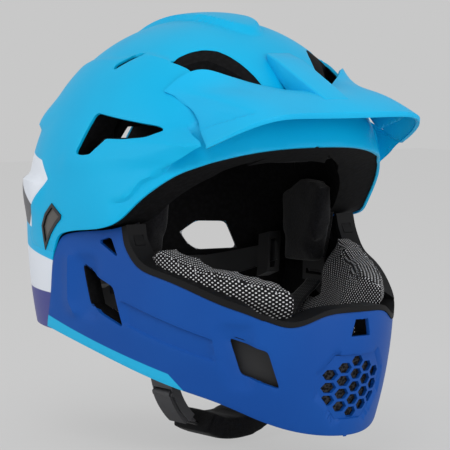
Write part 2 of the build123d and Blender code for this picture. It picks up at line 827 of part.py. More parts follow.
def make_grille():
    """Hexagon mesh behind the octagonal opening in the front, and the filter pad behind it."""
    wall = wall_between(chin_form(grille_recess), chin_form(grille_recess + grille_thickness))
    plate = largest(wall & grille_outline(-layer_gap))
    flange_start = chin_skin + layer_gap
    flange_wall = wall_between(chin_form(flange_start), chin_form(flange_start + hex_wall))
    flange = largest((flange_wall & grille_outline(grille_flange)) - grille_outline(-hex_wall))
    save("chin_grille", (plate - hex_bars()) + flange)
    filter_start = flange_start + hex_wall + layer_gap
    pad_wall = wall_between(chin_form(filter_start), chin_form(filter_start + filter_thickness))
    save("grille_filter", largest(pad_wall & grille_outline(grille_flange)))


def hex_bars():
    """Bars through the cells of the grille, in columns whose neighbours are half a pitch higher."""
    top = chin_belly_height + chin_depth * grille_shares[0][1]
    bottom = chin_belly_height + chin_depth * grille_shares[-1][1]
    middle = (top + bottom) / 2
    column_step = hex_stretch_share * hex_pitch * math.sqrt(3) / 2
    columns = int(chin_half_width * grille_shares[1][0] / column_step)
    rows = int((top - bottom) / hex_pitch / 2) + 1
    field = grille_outline(-hex_wall)
    bars = []
    for column in range(-columns, columns + 1):
        for row in range(-rows, rows + 1):
            height = middle + hex_pitch * (row + (0.5 if column % 2 else 0))
            if field.is_inside(Vector(column * column_step, -chin_nose_reach, height)):
                bars.append(hex_bar(column * column_step, height))
    return bars


def hex_bar(across, height):
    """Bar through one cell: a hexagon with flat top and bottom, stretched sideways."""
    radius = (hex_pitch - hex_wall) / math.sqrt(3)
    corners = []
    for k in range(6):
        turn = math.pi / 3 * k
        corners.append((hex_stretch_share * radius * math.cos(turn), radius * math.sin(turn)))
    place = Plane(origin=(across, -chin_nose_reach / 2, height), x_dir=(1, 0, 0), z_dir=(0, -1, 0))
    return extrude(place * Polygon(*corners, align=None), chin_nose_reach)


def make_cheek_pads():
    """Mesh-covered pads on the inner sides of the guard."""
    outer_inset = chin_skin + chin_liner_thickness + trim_lip + 2 * layer_gap
    outer = chin_form(outer_inset)
    inner = chin_form(outer_inset + cheek_pad_thickness)
    block = side_block([chin_place(shares) for shares in cheek_pad_shares])
    mouth = Box(2 * cheek_pad_inner, 2 * (chin_nose_reach + cut_overrun), 2 * chin_depth)
    pads = (wall_between(outer, inner) & block) - mouth
    for name, pad in zip(("left", "right"), sides_of(pads)):
        save("cheek_pad_" + name, pad)


def sides_of(shape):
    """The two largest solids of a shape, the wearer's left first."""
    solids = sorted(shape.solids(), key=lambda solid: -solid.volume)[:2]
    return sorted(solids, key=lambda solid: -solid.center().X)


def make_comfort_pads():
    """Pads against the head: brow, temples and crown."""
    outer_inset = shell_skin + liner_thickness + 2 * layer_gap
    outer = dome(outer_inset)
    thin = wall_between(outer, dome(outer_inset + comfort_pad_thickness))
    plush = wall_between(outer, dome(outer_inset + 2 * comfort_pad_thickness))
    temples = plush & side_block([side_place(shares) for shares in side_pad_shares])
    for name, pad in zip(("left", "right"), sides_of(temples)):
        save("side_pad_" + name, pad)
    brow = thin & side_block([side_place(shares) for shares in brow_pad_shares])
    save("brow_pad", largest(brow))
    length = shell_front_reach * crown_pad_length_share
    width = shell_half_width * crown_pad_width_share
    stadium = SlotOverall(length, width)
    tower = Pos(0, 0, widest_height) * extrude(Rot(0, 0, 90) * stadium, crown_rise)
    save("crown_pad", largest(thin & tower))


def visor_root():
    """Points of the visor's rear edge on the shell, from the middle to the wing's tip."""
    points = []
    for across_share, rise_share in visor_root_shares:
        across = shell_half_width * across_share
        height = widest_height + crown_rise * rise_share
        points.append(Vector(across, -dome_forward(across, height) - visor_clearance, height))
    return points


def visor_edge(share):
    """Point of the visor's leading edge at a share of its half width."""
    fall = abs(share) ** visor_edge_power
    return Vector(
        visor_half_width * share, -(visor_nose_reach - visor_corner_setback * fall),
        visor_nose_height - visor_corner_drop * fall,
    )


def make_visor():
    """Peak: a curved sheet from the shell to the leading edge, a bridge on top and three pegs."""
    root = visor_root()
    stations = len(root) - 1
    half_rows = []
    for k, start in enumerate(root):
        end = visor_edge(k / stations)
        row = []
        for step in range(visor_steps + 1):
            t = step / visor_steps
            pull = visor_wing_pull * (k / stations) ** 4 * 4 * t * (1 - t)
            point = start + (end - start) * t
            row.append(Vector(point.X - pull, point.Y, point.Z + visor_crown * 4 * t * (1 - t)))
        half_rows.append(row)
    mirrored = [[Vector(-p.X, p.Y, p.Z) for p in row] for row in reversed(half_rows[1:])]
    sheet_face = Face.make_surface_from_array_of_points(mirrored + half_rows)
    sheet = Solid.thicken(sheet_face, visor_thickness)
    if sheet.volume < 0:
        sheet = Solid.thicken(sheet_face, -visor_thickness)
    keep_clear = dome(-visor_trim)
    bridge = side_prism_narrow([side_place(shares) for shares in bridge_shares])
    body = largest((sheet + bridge) - keep_clear)
    for across, height in visor_peg_places():
        seat = peg_seat(across, height)
        body = body + along_y(peg_radius, seat - peg_root, seat + peg_length, across, height)
    save("visor", body)
    save("visor_sockets", Compound(children=[socket(*place) for place in visor_peg_places()]))


def socket(across, height):
    """Rubber tube that holds a peg, flush with the shell's form."""
    start = peg_seat(across, height) + grommet_setback
    end = start + grommet_length
    tube = along_y(peg_radius + grommet_wall, start, end, across, height) & dome(layer_gap)
    return largest(tube) - along_y(peg_radius + peg_fit, start, end, across, height)


def side_prism_narrow(points):
    face = Face(Wire(Polyline(*points, close=True).edges()))
    return extrude(face, bridge_half_width, dir=(1, 0, 0), both=True)


def make_fit_system():
    """Cradle with its two arms, guides in the liner, and the dial with its housing and pinion."""
    band_wall = wall_between(dome(cradle_inset), dome(cradle_inset + cradle_thickness))
    block = side_block([side_place(shares) for shares in cradle_shares])
    yoke_face = Face(Wire(Polyline(*[
        (shell_half_width * across, 0, widest_height + crown_rise * rise) for across, rise in yoke_shares
    ], close=True).edges()))
    yoke = extrude(yoke_face, shell_rear_reach, dir=(0, 1, 0))
    cradle = largest((band_wall & block) + (band_wall & yoke))
    back = dome_radii(dial_height, cradle_inset)[2]
    case_start = dome_radii(dial_height + housing_radius, cradle_inset)[2] + layer_gap
    hole = along_y(spindle_radius + spindle_fit, back - grid_pad, back + grid_pad, 0, dial_height)
    save("cradle", cradle - hole)
    case_end = case_start + housing_depth
    case = along_y(housing_radius, case_start, case_end, 0, dial_height)
    cavity = along_y(housing_radius - housing_wall, case_start, case_end - housing_wall, 0, dial_height)
    shaft_hole = along_y(spindle_radius + spindle_fit, case_start, case_end, 0, dial_height)
    save("cradle_housing", case - cavity - shaft_hole)
    knob_start = case_end + layer_gap
    knob = along_y(dial_radius, knob_start, knob_start + dial_depth, 0, dial_height)
    for k in range(dial_grips):
        turn = 2 * math.pi * k / dial_grips
        across = dial_radius * math.cos(turn)
        height = dial_height + dial_radius * math.sin(turn)
        knob = knob - along_y(dial_grip_radius, knob_start, knob_start + dial_depth, across, height)
    knob_middle = knob_start + dial_depth / 2
    spindle = along_y(spindle_radius, back - cradle_thickness, knob_middle, 0, dial_height)
    save("dial", knob + spindle)
    gear_start = case_start + layer_gap
    gear_end = case_end - housing_wall - layer_gap
    gear = along_y(pinion_radius - pinion_tooth_height, gear_start, gear_end, 0, dial_height)
    tooth = Box(pinion_tooth_height * 2, gear_end - gear_start, pinion_tooth_height)
    for k in range(pinion_teeth):
        turned = Rot(0, 360 * k / pinion_teeth, 0) * Pos(pinion_radius - pinion_tooth_height, 0, 0)
        gear = gear + Pos(0, (gear_start + gear_end) / 2, dial_height) * turned * tooth
    gear = gear - along_y(spindle_radius, gear_start, gear_end, 0, dial_height)
    save("dial_pinion", gear)
    make_guides()


def make_guides():
    """Slotted blocks on the liner's inner face that the cradle's arms slide through."""
    outer_inset = shell_skin + liner_thickness + 2 * layer_gap
    inner_inset = cradle_inset + cradle_thickness + guide_drift + guide_wall
    wall = wall_between(dome(outer_inset), dome(inner_inset))
    block = side_block([side_place(shares) for shares in guide_shares])
    slot_wall = wall_between(dome(cradle_inset - guide_clearance), dome(inner_inset - guide_wall))
    slot = slot_wall & side_block([side_place(shares) for shares in guide_slot_shares])
    guides = (wall & block) - slot
    for name, guide in zip(("left", "right"), sides_of(guides)):
        save("cradle_guide_" + name, guide)


def save(name, shape):
    export_step(shape, "parts/" + name + ".step")


def pair(name, left):
    """One piece on each side from the one on the wearer's left."""
    save(name + "_left", left)
    save(name + "_right", mirror(left, about=Plane.YZ))


def main():
    os.makedirs("parts", exist_ok=True)
    make_shell()
    make_liner()
    make_latches()
    make_chin_guard()
    make_cheek_pads()
    make_comfort_pads()
    make_straps()
    make_buckle()
    make_visor()
    make_fit_system()


main()
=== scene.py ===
import bpy
import math
import time
import numpy as np
from mathutils import Matrix, Vector
from mathutils.geometry import delaunay_2d_cdt


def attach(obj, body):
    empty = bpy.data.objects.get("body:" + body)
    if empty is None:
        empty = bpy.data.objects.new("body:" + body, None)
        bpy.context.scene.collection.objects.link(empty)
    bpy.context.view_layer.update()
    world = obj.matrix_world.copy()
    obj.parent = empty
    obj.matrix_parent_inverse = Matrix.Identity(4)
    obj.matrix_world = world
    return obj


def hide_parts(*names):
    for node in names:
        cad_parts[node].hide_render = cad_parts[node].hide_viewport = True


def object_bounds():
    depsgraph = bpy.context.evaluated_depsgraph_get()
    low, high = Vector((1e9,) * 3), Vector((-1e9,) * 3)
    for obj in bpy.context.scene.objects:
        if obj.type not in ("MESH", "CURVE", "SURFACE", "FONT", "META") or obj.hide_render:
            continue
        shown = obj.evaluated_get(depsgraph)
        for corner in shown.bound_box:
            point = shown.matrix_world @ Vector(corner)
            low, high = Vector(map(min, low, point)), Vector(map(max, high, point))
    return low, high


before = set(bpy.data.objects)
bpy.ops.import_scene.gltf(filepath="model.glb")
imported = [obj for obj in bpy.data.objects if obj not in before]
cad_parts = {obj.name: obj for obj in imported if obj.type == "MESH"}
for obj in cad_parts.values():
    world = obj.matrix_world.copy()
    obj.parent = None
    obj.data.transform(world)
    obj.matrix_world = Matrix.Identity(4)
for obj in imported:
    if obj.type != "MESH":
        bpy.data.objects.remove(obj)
cadBox = [list(corner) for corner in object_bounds()]
startTime = time.time()
mm = 0.001
# in millimetres: beyond the whole part, and how near the middle plane a point is taken to lie on it
far, middleReach = 400.0, 0.02
# a divisor is never smaller than this
tiny = 1e-6


def report(stage):
    print("%5.1f s  %s" % (time.time() - startTime, stage))


# forms of the shell and the guard, in millimetres, as in the CAD source
domeForm = {
    "halfWidth": 105.0, "frontReach": 117.0, "rearReach": 127.0, "widest": 31.0, "rise": 130.0,
    "drop": 93.0, "taper": 0.10, "planFront": 2.3, "planRear": 2.4, "side": 2.1, "brow": 1.95,
}
chinForm = {
    "halfWidth": 103.0, "setback": 40.0, "noseReach": 150.0, "rearReach": 85.0, "belly": 5.0,
    "depth": 99.0, "tuck": 14.0, "noseHeight": -15.0, "noseFall": 13.0, "noseSpan": 78.0,
    "browFall": 6.0, "browSpan": 60.0, "planFront": 1.9, "planRear": 2.3,
}


def columns(*parts):
    return np.stack(np.broadcast_arrays(*parts), -1)


def signedPower(value, power):
    return np.sign(value) * np.abs(value) ** power


def smooth(value):
    value = np.clip(value, 0, 1)
    return value * value * (3 - 2 * value)


def fade(value, span):
    # 0 up to the span's start and 1 after its run, and with a negative run the same downwards
    return smooth((value - span[0]) / span[1])


def sideView(points):
    return columns(-points[:, 1], points[:, 2])


def planView(points):
    return columns(points[:, 0], -points[:, 1])


def frontView(points):
    return columns(points[:, 0], points[:, 2])


def ringHalf(forward, radii, form):
    # reach and power of the front or rear half of a ring, whichever the place lies in
    ahead = forward > 0
    return np.where(ahead, radii[1], radii[2]), np.where(ahead, form["planFront"], form["planRear"])


def ringPoint(turn, radii, form):
    reach, power = ringHalf(np.cos(turn), radii, form)
    return radii[0] * signedPower(np.sin(turn), 2 / power), reach * signedPower(np.cos(turn), 2 / power)


def ringTurn(forward, radii, form):
    reach, power = ringHalf(forward, radii, form)
    return np.arccos(signedPower(np.clip(forward / np.maximum(reach, tiny), -1, 1), power / 2))


def insideRing(across, forward, radii, form):
    reach, power = ringHalf(forward, radii, form)
    return (np.abs(across) / radii[0]) ** power + (np.abs(forward) / reach) ** power < 1


def halved(low, high, inside):
    # the furthest place inside between low and high, by halving the span forty times
    for _ in range(40):
        middle = (low + high) / 2
        within = inside(middle)
        low, high = np.where(within, middle, low), np.where(within, high, middle)
    return low


def domeRadii(height):
    # above the widest ring each reach shrinks as a superellipse of the height, below it by a square law
    d = domeForm
    level = np.clip((height - d["widest"]) / d["rise"], 0, 1)
    below = np.clip((d["widest"] - height) / d["drop"], 0, 2)
    skirt = 1 - d["taper"] * below ** 2
    reaches = []
    for reach, power in (("halfWidth", d["side"]), ("frontReach", d["brow"]), ("rearReach", d["side"])):
        cap = np.maximum(1 - level ** power, 0) ** (1 / power)
        reaches.append(d[reach] * np.where(height >= d["widest"], cap, skirt))
    return reaches


def domePoint(turn, lat):
    # turn runs from the front (0) over the wearer's left to the back (pi), lat from the widest ring upwards
    d = domeForm
    height = d["widest"] + np.where(lat > 0, d["rise"] * np.sin(lat), d["rise"] * lat)
    across, forward = ringPoint(turn, domeRadii(height), d)
    return columns(across, -forward, height)


def latOf(height):
    share = (height - domeForm["widest"]) / domeForm["rise"]
    return np.where(share > 0, np.arcsin(np.clip(share, 0, 1)), share)


def domeFromSide(points):
    # place on the wearer's left half of the shell of a point seen from the side, as forward and up
    forward, height = np.asarray(points, float).T
    return columns(ringTurn(forward, domeRadii(height), domeForm), latOf(height))


def domeFromPlan(points):
    # the height of a point seen from above comes from halving the span until the point lies on its ring
    across, forward = np.asarray(points, float).T
    low = np.full(len(across), domeForm["widest"])
    high = low + domeForm["rise"]
    height = halved(low, high, lambda h: insideRing(across, forward, domeRadii(h), domeForm))
    return domeFromSide(columns(forward, height))


def domeFromBack(points):
    across, height = np.asarray(points, float).T
    share = np.clip(across / domeRadii(height)[0], 0, 1)
    return columns(math.pi - np.arcsin(share ** (domeForm["planRear"] / 2)), latOf(height))


def chinRadii(height):
    c = chinForm
    halfWidth = c["halfWidth"] - c["tuck"] * ((height - c["belly"]) / c["depth"]) ** 2
    above = np.clip((height - c["noseHeight"]) / c["browSpan"], 0, 1)
    fall = c["noseFall"] * ((height - c["noseHeight"]) / c["noseSpan"]) ** 2 + c["browFall"] * above ** 2
    return halfWidth, c["noseReach"] + c["setback"] - fall, c["rearReach"]


def chinPoint(turn, height):
    # superellipse ring about the widest station behind the ears, at any height
    across, forward = ringPoint(turn, chinRadii(height), chinForm)
    return columns(across, chinForm["setback"] - forward, height)


def chinFromSide(points):
    forward, height = np.asarray(points, float).T
    return columns(ringTurn(forward + chinForm["setback"], chinRadii(height), chinForm), height)


def chinFromFront(points):
    across, height = np.asarray(points, float).T
    share = np.clip(across / chinRadii(height)[0], -1, 1)
    return columns(np.arcsin(signedPower(share, chinForm["planFront"] / 2)), height)


# outlines, in the shares of the CAD source turned into millimetres
def domeSide(shares):
    return np.array(shares) * [domeForm["frontReach"], domeForm["rise"]] + [0, domeForm["widest"]]


def domePlan(shares):
    return np.array(shares) * [domeForm["halfWidth"], domeForm["frontReach"]]


def domeBack(shares):
    return np.array(shares) * [domeForm["halfWidth"], domeForm["rise"]] + [0, domeForm["widest"]]


def chinSide(shares):
    return np.array(shares) * [chinForm["noseReach"], chinForm["depth"]] + [0, chinForm["belly"]]


def chinFront(shares):
    return np.array(shares) * [chinForm["halfWidth"], chinForm["depth"]] + [0, chinForm["belly"]]


rimShares = [
    (1.25, 0.395), (0.92, 0.390), (0.79, 0.338), (0.64, 0.273), (0.55, 0.215), (0.40, 0.098),
    (0.31, 0.027), (0.205, -0.008), (0.025, -0.030), (-0.12, -0.050), (-0.19, -0.075),
    (-0.23, -0.125), (-0.256, -0.180), (-0.287, -0.346), (-0.333, -0.492), (-0.35, -0.546),
]
neckShares = [(-0.35, -0.546), (-0.75, -0.545), (-1.4, -0.52)]
splitShares = [
    (-0.20, -0.158), (-0.375, -0.152), (-0.54, -0.136), (-0.575, -0.095), (-0.515, 0.05),
    (-0.335, 0.195), (-0.46, 0.28), (-0.75, 0.31), (-1.4, 0.34),
]
sideVentShares = [
    (0.0, 0.53), (0.47, 0.482), (0.497, 0.464), (0.382, 0.428), (0.24, 0.413), (0.115, 0.411),
    (0.018, 0.323), (-0.087, 0.328),
]
topVentShares = [
    (0.590, 0.318), (0.536, 0.323), (0.471, 0.352), (0.408, 0.390), (0.349, 0.442), (0.308, 0.507),
    (0.273, 0.579), (0.242, 0.656), (0.221, 0.721), (0.238, 0.765), (0.343, 0.709), (0.457, 0.632),
    (0.543, 0.547), (0.557, 0.436), (0.584, 0.342),
]
crownSlitShares = [(0.683, -0.067), (0.581, 0.10), (0.61, 0.11), (0.71, -0.045)]
rearExhaustShares = [(0.0, 0.42), (0.2, 0.42), (0.15, 0.30), (0.0, 0.30)]
commaShares = [
    (-0.26, 0.081), (-0.155, 0.030), (-0.160, 0.010), (-0.204, -0.018), (-0.268, -0.072),
    (-0.336, -0.152), (-0.354, -0.108), (-0.378, -0.036), (-0.339, 0.025),
]
portShares = [
    (0.243, 0.333), (0.203, 0.293), (0.210, 0.222), (0.221, 0.161), (0.251, 0.084), (0.293, 0.019),
    (0.393, -0.037), (0.537, -0.108), (0.669, -0.187), (0.756, -0.234), (0.80, -0.265),
]
noseBridgeShares = [
    (0.544, -0.242), (0.46, -0.284), (0.41, -0.300), (0.353, -0.292), (0.233, -0.231), (0.097, -0.210),
]
hemShares = [
    (-0.5, -0.354), (-0.267, -0.429), (0.067, -0.556), (0.455, -0.729), (0.631, -0.807),
    (0.78, -0.917), (0.913, -0.985), (1.13, -0.995),
]
triangleShares = [(0.081, 0.159), (0.151, 0.194), (0.195, 0.065)]
chinVentShares = [(-0.021, 0.002), (0.169, -0.12), (0.213, -0.373), (0.023, -0.254)]
cornerShares = [(-0.5, 0.5), (0.29, 0.27), (0.5, -0.5), (-0.28, -0.25)]
grilleShares = [(0.155, -0.47), (0.233, -0.586), (0.218, -0.727), (0.102, -0.879)]
noseVentPoints = [(5.0, -20.0), (7.5, -30.5), (0.0, -30.5), (0.0, -20.0)]
rearVentShares = [(-0.5, -0.42), (-0.3, 0.5), (0.22, 0.5), (0.5, 0.1), (0.36, -0.3), (0.2, -0.5)]


# curves in the plane and in space
def runAlong(points):
    return np.concatenate([[0], np.cumsum(np.linalg.norm(np.diff(points, axis=0), axis=1))])


def sampled(curve, places, at):
    return np.stack([np.interp(at, places, values) for values in curve.T], -1)


def looped(points):
    return np.vstack([points, points[:1]]).astype(float)


def closedAt(curve, level):
    # the area between a curve and a far level
    return np.vstack([curve, [(curve[-1][0], level), (curve[0][0], level)]])


def cubicThrough(points, count=400):
    # natural cubic spline by chord length through the points, solved as one linear system per axis
    points = np.asarray(points, float)
    chord = runAlong(points)
    n = len(points)
    h = np.diff(chord)
    system = np.eye(n)
    right = np.zeros_like(points)
    inner = np.arange(1, n - 1)
    system[inner, inner - 1] = h[:-1]
    system[inner, inner] = 2 * (h[:-1] + h[1:])
    system[inner, inner + 1] = h[1:]
    slope = np.diff(points, axis=0) / h[:, None]
    right[1:-1] = 6 * np.diff(slope, axis=0)
    bend = np.linalg.solve(system, right)
    place = np.linspace(0, chord[-1], count)
    k = np.clip(np.searchsorted(chord, place, side="right") - 1, 0, n - 2)
    a = ((chord[k + 1] - place) / h[k])[:, None]
    b = ((place - chord[k]) / h[k])[:, None]
    bow = ((a ** 3 - a) * bend[k] + (b ** 3 - b) * bend[k + 1]) * h[k][:, None] ** 2 / 6
    return a * points[k] + b * points[k + 1] + bow


def roundedOutline(points, radius, steps=5, mostShare=0.45):
    # closed outline whose corners are quadratic arcs that start at most radius before each corner
    ends = []
    for shift in (1, -1):
        run = np.roll(points, shift, 0) - points
        length = np.linalg.norm(run, axis=1)[:, None]
        ends.append(points + run / length * np.minimum(radius, mostShare * length))
    t = np.linspace(0, 1, steps)[None, :, None]
    arcs = (1 - t) ** 2 * ends[0][:, None] + 2 * t * (1 - t) * points[:, None] + t ** 2 * ends[1][:, None]
    return arcs.reshape(-1, 2)


def dense(points, step=0.25):
    # straight runs cut into short equal steps, so that they bend with the surface they are laid on
    chord = runAlong(points)
    return sampled(points, chord, np.unique(np.concatenate([np.arange(0, chord[-1], step), chord])))


def thinned(chart, step, scale):
    # points at equal steps along the curve in the chart's own millimetres
    chord = runAlong(chart * scale)
    count = max(int(chord[-1] / step), 3)
    return sampled(chart, chord, np.linspace(0, chord[-1], count + 1))


def insidePolygon(points, polygon):
    # even-odd rule: counts the polygon's sides that a ray to the right crosses
    x, y = points[:, 0][:, None], points[:, 1][:, None]
    ax, ay = polygon[:, 0][None], polygon[:, 1][None]
    bx, by = np.roll(polygon[:, 0], -1)[None], np.roll(polygon[:, 1], -1)[None]
    crosses = (ay > y) != (by > y)
    place = (bx - ax) * (y - ay) / np.where(by == ay, tiny, by - ay) + ax
    return (np.sum(crosses & (x < place), axis=1) % 2) == 1


def insideAny(points, polygons):
    return np.any([insidePolygon(points, polygon) for polygon in polygons], axis=0)


def sideOfCurve(points, curve):
    # signed distance to an open curve in the plane, positive on its left
    best = np.full(len(points), np.inf)
    sign = np.ones(len(points))
    for p, q in zip(curve[:-1], curve[1:]):
        run = q - p
        t = np.clip(((points - p) @ run) / (run @ run), 0, 1)
        away = points - (p + t[:, None] * run)
        distance = np.linalg.norm(away, axis=1)
        near = distance < best
        best[near] = distance[near]
        sign[near] = np.sign(run[0] * away[near, 1] - run[1] * away[near, 0])
    return best * sign


def onPlane(points, plane):
    origin, along, up, _ = plane
    return columns((points - origin) @ along, (points - origin) @ up)


def nearPlane(points, plane, reach):
    return np.abs((points - plane[0]) @ plane[3]) < reach


def planeOnForm(outline, plane, reach, radiiOf, form, setback):
    # where straight lines through an outline in a plane leave a form, as seen from the side
    origin, along, up, out = plane
    start = origin + outline[:, :1] * along + outline[:, 1:] * up

    def inside(length):
        p = start + length[:, None] * out
        return insideRing(p[:, 0], setback - p[:, 1], radiiOf(p[:, 2]), form)

    low, high = [np.full(len(start), value) for value in reach]
    return sideView(start + halved(low, high, inside)[:, None] * out)


# meshes
def newMesh(name, points, faces, smoothFaces=True):
    mesh = bpy.data.meshes.new(name)
    faces = faces if isinstance(faces, list) else faces.tolist()
    mesh.from_pydata((np.asarray(points) * mm).tolist(), [], faces)
    mesh.polygons.foreach_set("use_smooth", [smoothFaces] * len(mesh.polygons))
    mesh.update()
    piece = bpy.data.objects.new(name, mesh)
    bpy.context.scene.collection.objects.link(piece)
    return piece


def applied(piece, sharp=None):
    # bakes the piece's modifiers into its mesh and marks the edges past an angle as sharp
    depsgraph = bpy.context.evaluated_depsgraph_get()
    mesh = bpy.data.meshes.new_from_object(piece.evaluated_get(depsgraph))
    piece.modifiers.clear()
    piece.data = mesh
    if sharp is not None:
        mesh.polygons.foreach_set("use_smooth", [True] * len(mesh.polygons))
        mesh.set_sharp_from_angle(angle=math.radians(sharp))
    mesh.update()
    return piece


def modifier(piece, kind, **settings):
    made = piece.modifiers.new(kind.lower(), kind)
    for key, value in settings.items():
        setattr(made, key, value)


def collected(items, key, width=3, kind=float):
    values = np.empty(len(items) * width, kind)
    items.foreach_get(key, values)
    return values.reshape(-1, width) if width > 1 else values


def setMaterial(piece, material):
    if not piece.data.materials:
        piece.data.materials.append(material)
    for slot in piece.material_slots:
        slot.material = material
    return piece


def halfPanel(curves, span, scale, spacing, block=2000, clearShare=0.6):
    # triangles over half of a surface's chart, with an edge along every curve
    low, high = np.transpose(span)
    counts = np.maximum(((high - low) * scale / spacing).astype(int), 2)
    u, v = np.meshgrid(*[np.linspace(*run) for run in zip(low, high, counts + 1)])
    grid = columns(u.ravel(), v.ravel())
    taken = np.vstack(curves) * scale
    gaps = []
    for start in range(0, len(grid), block):
        part = grid[start:start + block] * scale
        gaps.append(np.min(np.linalg.norm(part[:, None] - taken[None], axis=2), axis=1))
    onEdge = (grid[:, 0] == low[0]) | (grid[:, 0] == high[0])
    grid = grid[(np.concatenate(gaps) > clearShare * spacing) | onEdge]
    edges, start = [], len(grid)
    for curve in curves:
        index = np.arange(len(curve) - 1) + start
        edges.append(columns(index, index + 1))
        start += len(curve)
    points = np.clip(np.vstack([grid] + curves), low, high) * scale
    made = delaunay_2d_cdt(list(map(Vector, points.tolist())), np.vstack(edges).tolist(), [], 0, 1e-5)
    return np.array([tuple(p) for p in made[0]]) / scale, np.array(made[2])


def mirrorWeld(points, faces):
    # the other half, with the points of the middle plane shared
    points = points.copy()
    middle = np.abs(points[:, 0]) < middleReach
    points[middle, 0] = 0
    index = np.arange(len(points)) + np.where(middle, 0, len(points))
    return np.vstack([points, points * [-1, 1, 1]]), np.vstack([faces, index[faces][:, ::-1]])


def facing(points, faces, center):
    # turns the triangles so that they face away from a centre, and drops those without area
    a, b, c = points[faces[:, 0]], points[faces[:, 1]], points[faces[:, 2]]
    normal = np.cross(b - a, c - a)
    keep = np.einsum("ij,ij->i", normal, (a + b + c) / 3 - center) > 0
    faces = np.where(keep[:, None], faces, faces[:, ::-1])
    return faces[np.linalg.norm(normal, axis=1) > tiny]


def usedOnly(points, faces):
    used = np.unique(faces)
    index = np.full(len(points), -1)
    index[used] = np.arange(len(used))
    return points[used], index[faces]


def halfSheet(curves, span, scale, look, pointOf):
    # half of a form as triangles, and the middle of each
    curves = [thinned(np.clip(curve, *np.transpose(span)), look["step"], scale) for curve in curves]
    chart, faces = halfPanel(curves, span, scale, look["spacing"])
    points = pointOf(*chart.T)
    points[np.abs(points[:, 0]) < middleReach, 0] = 0
    faces = facing(points, faces, np.array(look["center"]))
    return points, faces, points[faces].mean(axis=1)


def relieved(points, faces, height):
    # points moved along their normals, and those of the middle plane within it
    normals = np.zeros_like(points)
    cross = np.cross(points[faces[:, 1]] - points[faces[:, 0]], points[faces[:, 2]] - points[faces[:, 0]])
    for k in range(3):
        np.add.at(normals, faces[:, k], cross)
    normals /= np.maximum(np.linalg.norm(normals, axis=1), 1e-12)[:, None]
    normals[points[:, 0] == 0, 0] = 0
    return points + normals * height[:, None]


def skin(name, points, faces, look, sharp=32, bevelFrom=50):
    # sheet and its mirror image merged, given a wall inwards, then the cut edges rounded over
    piece = newMesh(name, *mirrorWeld(*usedOnly(points, faces)))
    modifier(piece, "WELD", merge_threshold=0.02 * mm)
    applied(piece)
    modifier(piece, "SOLIDIFY", thickness=look["wall"] * mm, offset=-1.0, use_even_offset=False)
    modifier(piece, "BEVEL", width=look["edge"] * mm, segments=2, limit_method="ANGLE",
             angle_limit=math.radians(bevelFrom), harden_normals=False)
    return applied(piece, sharp)


# colours and nodes
def srgb(code):
    value = [int(code[i:i + 2], 16) / 255 for i in (1, 3, 5)]
    return tuple(c / 12.92 if c <= 0.04045 else ((c + 0.055) / 1.055) ** 2.4 for c in value) + (1.0,)


def feed(tree, node, inputs):
    # each input takes a value, or a link from a socket
    for key, value in inputs.items():
        if isinstance(value, bpy.types.NodeSocket):
            tree.links.new(value, node.inputs[key])
        else:
            node.inputs[key].default_value = value


def addNode(tree, kind, settings=None, inputs=None, out=0, stops=()):
    # one node with its settings, values, links and colour stops, which gives one of its outputs
    node = tree.nodes.new("ShaderNode" + kind)
    for key, value in (settings or {}).items():
        setattr(node, key, value)
    feed(tree, node, inputs or {})
    for k, (place, code) in enumerate(stops):
        node.color_ramp.elements[k].position = place
        node.color_ramp.elements[k].color = srgb(code)
    return node.outputs[out]


def newMaterial(name, color, roughness, **values):
    material = bpy.data.materials.new(name)
    material.use_nodes = True
    tree = material.node_tree
    shader = tree.nodes["Principled BSDF"]
    named = {key.replace("_", " "): value for key, value in values.items()}
    feed(tree, shader, {"Base Color": srgb(color), "Roughness": roughness, **named})
    return material, tree, shader


def grainBump(tree, shader, size, strength, distance=0.2, detail=3.0, kind="TexNoise"):
    # grain whose bumps are size millimetres apart
    place = addNode(tree, "TexCoord", out="Object")
    inputs = {"Vector": place, "Scale": 1000.0 / size}
    if kind == "TexNoise":
        inputs["Detail"] = detail
    grain = addNode(tree, kind, None, inputs)
    bump = addNode(tree, "Bump", None, {"Height": grain, "Strength": strength, "Distance": distance * mm})
    feed(tree, shader, {"Normal": bump})
    return place, grain


# flat colours on the painted pieces, each on the left of all its lines, as forward and up in the side view
paintAreas = {
    "white": [
        ("#5a5a5e", [((-57.8, 37.6), (-88, 53)), ((-70, 24.3), (-57.8, 37.6)), ((-110, 30), (-70, 24.3))]),
        ("#00aadb", [((-70, 24.3), (-110, 30)), ((-110, 14), (-36, 6))]),
        ("#3c3f86", [((-30, -16), (-60, -16))]),
    ],
    "blue": [("#22a9d6", [((62, -58), (-38, -30)), ((69, -66), (59, -55))])],
}


def leftOf(tree, place, start, end, softness=0.25):
    # 1 on the left of the line from start to end, over an edge of twice the softness in millimetres
    run = np.subtract(end, start) / np.linalg.norm(np.subtract(end, start))
    normal = (0.0, run[1], run[0])
    plane = addNode(tree, "VectorMath", {"operation": "DOT_PRODUCT"}, {0: place, 1: normal}, "Value")
    offset = run[0] * start[1] - run[1] * start[0]
    return addNode(tree, "MapRange", {"clamp": True}, {
        "Value": plane, "From Min": (offset - softness) * mm, "From Max": (offset + softness) * mm,
    })


